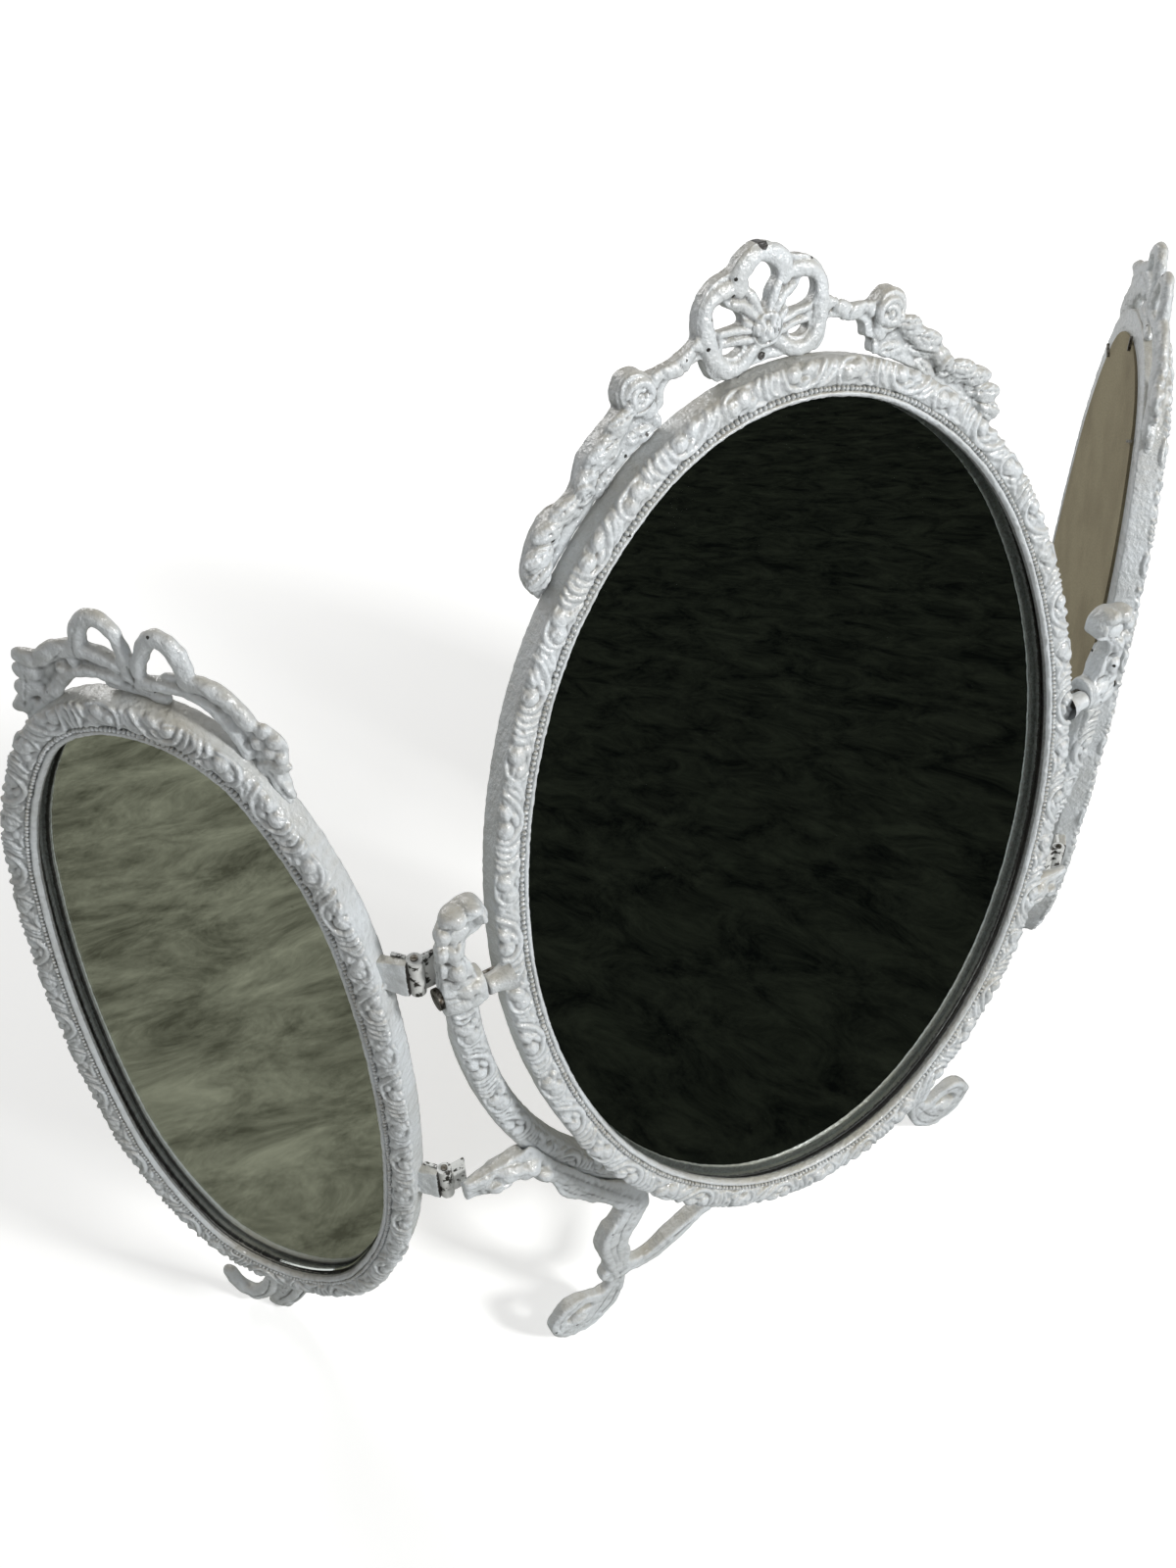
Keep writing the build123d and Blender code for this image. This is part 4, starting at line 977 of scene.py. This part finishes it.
ribbonMarks = {
    "ridges": [(3.2, 1.5, [(26.4, 214.4), (30.4, 216.2), (33.8, 213.6), (37, 210.2), (41, 210.2), (45.4, 211), (48.6, 207.6)])],
    "grooves": [(0.5, 0.9, [(29.4, 213.0), (33.4, 216.6)]), (0.5, 0.9, [(35.4, 208.2), (38.4, 212.4)]),
                (0.5, 0.8, [(43.0, 208.4), (46.4, 212.2)])],
    "domes": [(51.6, 199.4, 3.0, 3.6, 0.4, 1.1), (47.4, 194.4, 3.0, 3.0, 0, 1.0), (95.0, 166.2, 2.4, 1.8, 0.5, 1.1),
              (89.0, 170.4, 2.4, 1.7, -0.4, 1.0), (86.0, 171.6, 2.4, 2.0, 0, 1.0)],
}
swagLeaves = [  # stalk, tip and width of each leaf on the swags
    (59.0, 200.8, 70.6, 198.6, 5.6), (62.6, 195.6, 79.4, 189.0, 7.0), (65.6, 189.4, 79.4, 183.4, 6.4),
    (68.6, 183.6, 77.0, 174.2, 5.4), (84.6, 177.6, 97.0, 173.0, 5.8), (90.0, 170.6, 105.0, 167.6, 6.4),
    (94.6, 164.0, 110.2, 160.0, 6.2), (97.6, 159.6, 110.8, 151.4, 6.2), (99.6, 153.0, 105.6, 146.6, 4.6),
    (50.6, 191.8, 61.4, 190.6, 5.8),
]
leafTips = [  # x, y, two radii and turn: the outer leaves, which scallop the swag's outline
    (65.0, 198.0, 7.0, 4.2, -0.5), (73.4, 190.6, 8.4, 4.8, -0.5), (80.8, 181.6, 5.6, 4.4, -0.9),
    (90.6, 174.6, 6.8, 4.2, -0.35), (99.0, 169.4, 7.0, 4.4, -0.35), (103.8, 160.8, 6.6, 4.2, -0.4), (104.2, 153.0, 6.6, 3.8, -0.6),
]
centreCrestMarks = gatherMarks(bowMarks, ribbonMarks, roseMarks(55.6, 204.8, 7.0), roseMarks(82.6, 177.4, 4.4), *[leafMarks(*one) for one in swagLeaves])
centreChips = [(1, 243.6, 2.6), (-12, 234.7, 1.0), (-13, 229, 0.9), (-19, 226.4, 1.1), (-23, 223.5, 1.0), (-26, 213.8, 1.0),
               (22, 234, 1.0), (18, 210, 1.0), (-54, 191, 0.9), (-63, 185.5, 1.0), (3.5, 213.5, 0.7), (-2.5, 204.8, 2.2),
               (-96.6, 165, 1.0), (-35, 212.4, 0.7)]


tips = [lump(x, y, -11.9, rx, ry, 2.3, turn) for x, y, rx, ry, turn in leafTips]
crestGroups = [nodeSolid("centre_crest", centrePlace, crest["back"], crest["front"], crest["drawnFront"])] + tips + mirrorX(tips)
castSolid("centreCrest", crestGroups, centrePlace, "centre", ["centre_crest"], seed=8, chips=centreChips, slim=crest["slim"],
          carve=lambda p, normal: drawnRelief(p, normal, centreCrestMarks) + softNoise(p, 5.0, 58) * 0.25 + softNoise(p, 2.4, 59) * 0.2)

# the screw stubs on the centre rim, each with a collar where it meets the boss
stub = {"from": 147.0, "to": 158.1, "bore": 2.55}
stubProfile = [(stub["from"], 6.4), (149.6, 5.8), (151.8, 4.8), (153.6, 4.4), (155.4, 4.3), (156.9, 4.3),
               (stub["to"] - 0.4, 4.1), (stub["to"], 3.7), (stub["to"], stub["bore"] + 0.3),
               (stub["to"] - 0.3, stub["bore"]), (stub["to"] - 7.0, stub["bore"])]
for side, hand in ((-1, "left"), (1, "right")):
    castPoints, castFaces = turned([(side * x, r) for x, r in stubProfile], 0, -layout["centreFront"], 48)
    quads = np.array([face for face in castFaces if len(face) == 4])
    # painted shade at the collar's foot and down the bore, set ring by ring
    dark = np.repeat([0.3, 0.1, 0.0, 0.0, 0.0, 0.1, 0.5, 0.8, 0.9, 0.9, 0.9], 48)
    makePiece(hand + "ScrewStub", [(castPoints, quads)], centrePlace, enamelPaint, "centre",
              {"hollowShadeAndGrime": dark, "chipAndSeatShadow": dark * 0})

# the wings' bows: round ribbons looped and tied, with flowers, a tassel and leaves at their ends
wingRibbons = [  # level, half height, then x, y and half width along each ribbon
    (-11.0, 2.9, [(112.8, 141, 3.3), (112.8, 149, 3.4), (110.4, 156, 3.5), (104.4, 160.2, 3.6), (98.8, 156.8, 3.1),
                  (96.0, 150, 2.9), (95.2, 143, 2.9), (95.6, 135, 2.8)]),
    (-10.8, 2.9, [(92.2, 138, 2.7), (89.0, 147, 2.9), (85.4, 154.2, 3.4), (80.6, 157.2, 4.1), (75.4, 153.8, 3.9),
                  (72.8, 147, 3.7), (73.2, 139.6, 3.3)]),
    (-11.0, 3.0, [(96, 140, 2.8), (104, 143.6, 3.2), (113, 145.2, 3.6), (121, 143.6, 3.9), (127.4, 140, 3.7),
                  (133, 135.6, 3.3), (138.6, 135.2, 2.8), (143.0, 136.6, 1.9)]),
    (-10.8, 2.6, [(97, 134.6, 2.8), (104, 136.0, 2.5), (111, 136.2, 2.4), (117, 134.6, 2.4), (123, 131.0, 2.6), (128, 124.4, 3.0),
                  (134, 115.6, 3.4), (140, 109, 3.2), (144.6, 104.2, 2.2)]),
    (-10.8, 2.9, [(76.4, 140.4, 3.2), (69, 141.2, 3.6), (61.2, 138.2, 3.7), (54.6, 132.0, 3.5), (49.4, 126, 3.2)]),
    (-10.8, 2.6, [(97, 137.4, 2.6), (91, 136.6, 2.8), (84, 137.0, 2.6), (77, 136.4, 2.4), (70, 135.0, 2.3), (63, 130.4, 2.5),
                  (57.2, 121.4, 2.9), (53.4, 112, 2.8)]),
    (-12.6, 2.0, [(102, 139, 3.0), (112, 139.6, 4.4), (122, 135.4, 5.6), (130, 128, 6.6), (136, 120.6, 6.8), (140.6, 113, 6.0),
                  (142, 107, 4.0)]),
    (-12.6, 1.8, [(84, 139.0, 2.4), (76, 139.4, 2.6), (68, 138.6, 2.8), (60.4, 134, 3.2), (53.6, 125, 4.6), (49.4, 116, 5.4),
                  (46.4, 107, 5.2), (43.4, 98, 3.4)]),
    (-12.2, 2.4, [(107, 131.6, 2.0), (100, 132.4, 3.0), (92, 132.2, 3.2), (86, 130.4, 2.6), (81.6, 128.6, 2.0)]),
    (-12.4, 2.2, [(47, 126.4, 4.0), (44.4, 120, 5.6), (43.2, 114, 5.0)]),
]
tasselCords = [(52.0, 110.0, 46.4, 94.4), (50.2, 111.6, 43.4, 92.8), (48.2, 112.8, 40.8, 94.0), (46.4, 113.6, 38.8, 97.0)]
wingFlowers = [  # x, y, radius
    (47.4, 126.0, 3.2), (43.2, 122.0, 3.0), (49.8, 120.0, 2.8), (45.4, 116.8, 2.8), (41.4, 115.4, 2.5), (54.0, 115.4, 2.4),
    (122.6, 134.2, 3.0), (135.0, 121.6, 2.9), (130.6, 119.6, 2.6), (134.4, 116.6, 2.5), (117.0, 139.4, 2.6),
]
wingLeaves = [(48.4, 110.0, 37.6, 112.0, 2.4), (58.6, 116.0, 55.2, 105.6, 2.8), (139.0, 121.0, 149.0, 109.6, 2.8),
              (132.0, 130.6, 145.4, 127.8, 4.6), (133.0, 124.4, 147.0, 118.6, 4.4),
              (138.0, 116.0, 150.6, 108.6, 3.8), (129.0, 137.0, 143.4, 136.2, 3.4), (98.6, 143.0, 88.6, 130.4, 2.2), (56.6, 133.6, 48.6, 128.0, 2.6)]
wingMarks = {
    "ridges": [],
    "grooves": [
        (0.5, 0.6, [(114.4, 143), (114.0, 149), (110.8, 155.4)]), (0.5, 0.6, [(98.8, 141), (93.6, 135.4), (88.6, 131.6)]),
        (0.5, 0.6, [(93.8, 143.6), (92.6, 137.6), (95.4, 132.0)]), (0.5, 0.5, [(85.6, 150.6), (81.0, 152.6), (77.6, 149.6)]),
        (0.45, 0.5, [(119.4, 144.2), (123.4, 139.4), (127.6, 137)]), (0.45, 0.5, [(66.6, 141.2), (63.6, 137.0), (58.4, 133.4)]),
        (0.5, 0.5, [(138.0, 131.4), (140.4, 122.0), (144.0, 112.0)]), (0.45, 0.5, [(72.4, 129.2), (64.4, 124.8), (57.6, 118.4)]),
    ],
    "domes": [],
}
footHook = [  # x, y, level, half width, height: the open hook at the outer side of the foot
    (112.2, -256, -12.8, 3.6, 2.7), (113.4, -270, -12.8, 3.9, 2.9), (115.4, -280, -12.8, 4.3, 3.1), (119.6, -289.4, -12.8, 4.9, 3.4),
    (126.6, -296.6, -12.8, 5.2, 3.5), (133.6, -296.6, -12.8, 5.2, 3.4), (138.4, -290.8, -12.8, 4.9, 3.3),
    (140.2, -283.8, -12.8, 4.5, 3.2), (139.2, -279.4, -12.8, 4.2, 3.1)]
footLeaf = {
    "outline": [(86, -250), (88.4, -262), (93.6, -278), (101.6, -293), (110.6, -303.6), (116.6, -306.0), (121.0, -302.6),
                (117.0, -294.4), (113.8, -281), (112.0, -264), (111.6, -250)],
    "back": -16.6, "front": -12.2,
}
footMarks = {
    "ridges": [(2.2, 1.0, [(92, -254), (96, -271), (104, -288), (114, -301)]), (1.8, 0.9, [(101, -254), (103, -271), (109, -287)])],
    "grooves": [(0.5, 0.6, [(96.6, -254), (99.6, -271), (106.4, -288), (113, -297)]),
                (0.45, 0.5, [(90.4, -268), (95, -274)]), (0.45, 0.5, [(95.6, -282), (100.4, -286)]),
                (0.45, 0.5, [(100.4, -262), (104.6, -268)]), (0.45, 0.5, [(104.0, -280), (109.6, -283)]),
                (0.6, 0.9, [(113.4, -260), (114.6, -276), (118.6, -288.6), (125.6, -296.4), (133.0, -297.2)]),
                (0.5, 0.7, [(136.6, -296.4), (139.6, -290.4), (140.6, -284.6)]), (0.6, 0.9, [(90.6, -258), (95, -276), (102, -291), (109, -300)]),
                (0.5, 0.8, [(101.6, -258), (104.4, -274), (110.0, -289)])],
    "domes": [(98, -296, 3.2, 3.0, 0, 1.0), (108, -299, 3.6, 2.6, -0.9, 1.0), (127, -298.6, 3.6, 2.4, 0, 0.6),
              (138.6, -288.6, 2.6, 3.6, 0.3, 0.7)],
}
lug = {"tip": 4.6, "root": 19.0, "tipHalf": 9.6, "rootHalf": 7.6, "tipThick": 1.9, "rootThick": 2.8, "high": 12.0, "low": -129.0,
       "level": -11.0, "nubAt": 15.4, "nubDrop": 5.4, "nub": 2.2, "nubHigh": 4.6}


# a hinge lug: a plate that thickens toward the rim, with a small pointed nub on it
def lugSolid(middle):
    points = []
    for x, half, thick in ((lug["tip"], lug["tipHalf"], lug["tipThick"]), (lug["root"], lug["rootHalf"], lug["rootThick"])):
        for up, out in ((-half, -thick), (half, -thick), (half, thick), (-half, thick)):
            points.append((x, middle + up, lug["level"] + out))
    faces = [[0, 1, 2, 3], [7, 6, 5, 4], [0, 4, 5, 1], [1, 5, 6, 2], [2, 6, 7, 3], [3, 7, 4, 0]]
    x, y, r, level = lug["nubAt"], middle - lug["nubDrop"], lug["nub"], lug["level"] + lug["tipThick"] - 0.4
    spike = np.array([(x - r, y - r, level), (x + r, y - r, level), (x + r, y + r, level), (x - r, y + r, level),
                      (x, y, level + lug["nubHigh"])])
    return [(np.array(points), faces), (spike, [[3, 2, 1, 0], [0, 1, 4], [1, 2, 4], [2, 3, 4], [3, 0, 4]])]


def flipFor(side, groups):
    return groups if side > 0 else mirrorX(groups)


for side, hand in ((-1, "left"), (1, "right")):
    where, body = wingPlace(side), hand + "_wing"
    bow = [rib([(x, y, level, wide, high) for x, y, wide in points], sides=14) for level, high, points in wingRibbons]
    bow += [rib([(x0, y0, -11.0, 1.2, 1.9), (x0 * 0.45 + x1 * 0.55 + 1, (y0 + y1) / 2, -10.6, 1.3, 2.1), (x1, y1, -11.0, 1.1, 1.8)])
            for x0, y0, x1, y1 in tasselCords]
    bow += [lump(x, y, -11.2, radius, radius, 2.7) for x, y, radius in wingFlowers]
    for x0, y0, x1, y1, wide in wingLeaves:
        bow.append(lump((x0 + x1) / 2, (y0 + y1) / 2, -10.8, np.hypot(x1 - x0, y1 - y0) / 2, wide, 2.4, np.arctan2(y1 - y0, x1 - x0)))
    castSolid(hand + "WingCrest", flipFor(side, bow), where, body, [hand + "_wing_crest"], seed=30 + side, passes=2,
              carve=lambda p, normal: drawnRelief(p, normal, wingMarks) + softNoise(p, 3.0, 81) * 0.4 + softNoise(p, 8.0, 82) * 0.3,
              chips=[(side * 116, 150, 1.0), (side * 82, 159, 0.9), (side * 131, 123, 0.6), (side * 86.6, 133, 0.6)])
    mounts = [plate(footLeaf["outline"], footLeaf["back"], footLeaf["front"]), rib(footHook)]
    mounts += lugSolid(lug["high"]) + lugSolid(lug["low"])
    castSolid(hand + "WingMounts", flipFor(side, mounts), where, body, [], seed=40 + side,
              chips=[(side * 121, -304, 1.0)] + [(side * 4.4, middle + up, 1.1) for middle in (lug["high"], lug["low"])
                                                  for up in range(-9, 10)],
              carve=lambda p, normal: drawnRelief(p, normal, footMarks) + softNoise(p, 4.0, 71) * 0.3)
    dressNode(hand + "_stand_leaves", paintedSteel)
    dressNode(hand + "_wing_leaves", paintedSteel)
    dressNode(hand + "_hinge_pins", plainSteel)
    dressNode(hand + "_pivot_screw", plainSteel)
print("castings joined")

# floor, background, lamps and camera
studio = {
    "floor": "#eeeeec", "paperGlow": 0.42, "farGlow": 0.5, "world": 0.24,
    # colours of the painted reflection card: near black in front, olive at the left, each with a lighter mottle
    "reflectionNear": "#090b0a", "reflectionNearLight": "#23261f", "reflectionLeft": "#4b4b3f", "reflectionLeftLight": "#8f8f7e",
    "lamps": [  # place, aim, size and watts
        ((1.0, -1.65, 1.35), (0.0, 0.0, 0.28), 0.38, 41.0),
        ((-1.7, -1.0, 1.3), (0.0, 0.0, 0.25), 0.9, 2.5),
        ((-0.2, 1.7, 1.3), (0.1, 0.0, 0.3), 0.8, 12.0),
    ],
}

world = bpy.data.worlds.new("studioWorld")
scene.world = world
world.use_nodes = True
world.node_tree.nodes.clear()
rays = addNode(world, "ShaderNodeLightPath")
seen = addNode(world, "ShaderNodeMath", {"operation": "MAXIMUM"},
               {0: rays.outputs["Is Camera Ray"], 1: rays.outputs["Is Glossy Ray"]})
seen = addNode(world, "ShaderNodeMath", {"operation": "MAXIMUM"},
               {0: seen.outputs[0], 1: rays.outputs["Is Transmission Ray"]})
level = addNode(world, "ShaderNodeMapRange", None, {"Value": seen.outputs[0], "To Min": studio["world"], "To Max": 1.0})
sky = addNode(world, "ShaderNodeBackground", None, {"Color": (1, 1, 1, 1), "Strength": level.outputs[0]})
addNode(world, "ShaderNodeOutputWorld", None, {"Surface": sky.outputs[0]})

# pale seamless paper: glowing for camera rays, more further out, until it is white to the eye, still holding the shadow
paper = startMaterial("paleSeamlessPaper")
rays = addNode(paper, "ShaderNodeLightPath")
tooth = addNode(paper, "ShaderNodeTexNoise", None,
                {"Vector": addNode(paper, "ShaderNodeTexCoord").outputs["Object"], "Scale": 1 / (1.5 * mm), "Detail": 3.0})
grain = addNode(paper, "ShaderNodeBump", None, {"Height": tooth.outputs["Fac"], "Strength": 0.1, "Distance": 0.1 * mm})
away = addNode(paper, "ShaderNodeVectorMath", {"operation": "LENGTH"},
               {0: addNode(paper, "ShaderNodeTexCoord").outputs["Object"]}).outputs["Value"]
glow = addNode(paper, "ShaderNodeMapRange", None,
               {"Value": away, "From Min": 0.5, "From Max": 2.5, "To Min": studio["paperGlow"],
                "To Max": studio["paperGlow"] + studio["farGlow"]})
glow = addNode(paper, "ShaderNodeMath", {"operation": "MULTIPLY"}, {0: rays.outputs["Is Camera Ray"], 1: glow.outputs[0]})
shader = addNode(paper, "ShaderNodeBsdfPrincipled", None,
                 {"Base Color": hexColour(studio["floor"]), "Roughness": 0.9, "Normal": grain.outputs[0],
                  "Specular IOR Level": 0.2, "Emission Color": (1, 1, 1, 1), "Emission Strength": glow.outputs[0]})
addNode(paper, "ShaderNodeOutputMaterial", None, {"Surface": shader.outputs[0]})

floorMesh = bpy.data.meshes.new("studioFloor")
floorMesh.from_pydata([(-8, -8, 0), (8, -8, 0), (8, 8, 0), (-8, 8, 0)], [], [(0, 1, 2, 3)])
floorMesh.materials.append(paper)
studioFloor = bpy.data.objects.new("studioFloor", floorMesh)
scene.collection.objects.link(studioFloor)

# a glowing card under the mirrors, seen only in them: a painted reflection, near black in front and olive at the left,
# with lighter mottle; it is no lamp, lights nothing and casts no shadow
reflectionCard = startMaterial("paintedReflectionCard")
reflectionCardPoints = addNode(reflectionCard, "ShaderNodeTexCoord").outputs["Object"]
spot = addNode(reflectionCard, "ShaderNodeSeparateXYZ", None, {"Vector": reflectionCardPoints})
along = addNode(reflectionCard, "ShaderNodeMath", {"operation": "MULTIPLY_ADD"}, {0: spot.outputs["X"], 1: -1.1, 2: 0.15})
along = addNode(reflectionCard, "ShaderNodeMath", {"operation": "MULTIPLY_ADD"},
                {0: spot.outputs["Y"], 1: 0.9, 2: along.outputs[0]})
zone = addNode(reflectionCard, "ShaderNodeValToRGB", None, {"Fac": along.outputs[0]}, [(0.05, 0.0), (0.32, 1.0)])
stretched = addNode(reflectionCard, "ShaderNodeMapping", None,
                    {"Vector": reflectionCardPoints, "Rotation": (0, 0, 0.6), "Scale": (2.3, 0.9, 1.0)})
mottle = addNode(reflectionCard, "ShaderNodeTexNoise", None, {"Vector": stretched.outputs[0], "Scale": 13.0, "Detail": 14.0, "Distortion": 0.6,
                                                         "Roughness": 0.78})
share = addNode(reflectionCard, "ShaderNodeValToRGB", None, {"Fac": mottle.outputs["Fac"]}, [(0.38, 0.0), (0.66, 1.0)])
near = addNode(reflectionCard, "ShaderNodeMix", {"data_type": "RGBA"},
               {0: share.outputs["Color"], 6: hexColour(studio["reflectionNear"]), 7: hexColour(studio["reflectionNearLight"])})
left = addNode(reflectionCard, "ShaderNodeMix", {"data_type": "RGBA"},
               {0: share.outputs["Color"], 6: hexColour(studio["reflectionLeft"]), 7: hexColour(studio["reflectionLeftLight"])})
shade = addNode(reflectionCard, "ShaderNodeMix", {"data_type": "RGBA"},
                {0: zone.outputs["Color"], 6: near.outputs[2], 7: left.outputs[2]})
glow = addNode(reflectionCard, "ShaderNodeEmission", None, {"Color": shade.outputs[2], "Strength": 1.0})
addNode(reflectionCard, "ShaderNodeOutputMaterial", None, {"Surface": glow.outputs[0]})
reflectionCardMesh = bpy.data.meshes.new("reflectionCard")
reflectionCardMesh.from_pydata([(-2.5, -4, 0.003), (3.5, -4, 0.003), (3.5, 0.6, 0.003), (-2.5, 0.6, 0.003)], [], [(0, 1, 2, 3)])
reflectionCardMesh.materials.append(reflectionCard)
reflectionCardPiece = bpy.data.objects.new("reflectionCard", reflectionCardMesh)
scene.collection.objects.link(reflectionCardPiece)
reflectionCardPiece.visible_camera = reflectionCardPiece.visible_diffuse = reflectionCardPiece.visible_shadow = False

for i, (spotAt, aim, size, watts) in enumerate(studio["lamps"]):
    lamp = bpy.data.lights.new("softLamp%d" % i, "AREA")
    lamp.shape = "SQUARE"
    lamp.size, lamp.energy = size, watts
    holder = bpy.data.objects.new("softLamp%d" % i, lamp)
    holder.location = spotAt
    holder.rotation_euler = (Vector(aim) - Vector(spotAt)).to_track_quat("-Z", "Y").to_euler()
    scene.collection.objects.link(holder)

view = {"place": (-0.3213, -0.4119, 0.781), "down": 43.21, "round": 30.80, "roll": -1.34, "lens": 36.09,
        "shift": (-0.0014, -0.0034)}
down, heading, roll = (radians(view[key]) for key in ("down", "round", "roll"))
forward = Vector((sin(heading) * cos(down), cos(heading) * cos(down), -sin(down)))
flatRight = Vector((cos(heading), -sin(heading), 0))
upward = flatRight.cross(forward)
right = flatRight * cos(roll) + upward * sin(roll)
upward = upward * cos(roll) - flatRight * sin(roll)
lens = bpy.data.cameras.new("camera")
lens.sensor_fit, lens.sensor_height, lens.lens = "VERTICAL", 36.0, view["lens"]
lens.shift_x, lens.shift_y = view["shift"]
camera = bpy.data.objects.new("camera", lens)
camera.matrix_world = Matrix.Translation(view["place"]) @ Matrix((right, upward, -forward)).transposed().to_4x4()
scene.collection.objects.link(camera)
scene.camera = camera
scene.view_settings.view_transform = "Standard"
print("studio set")
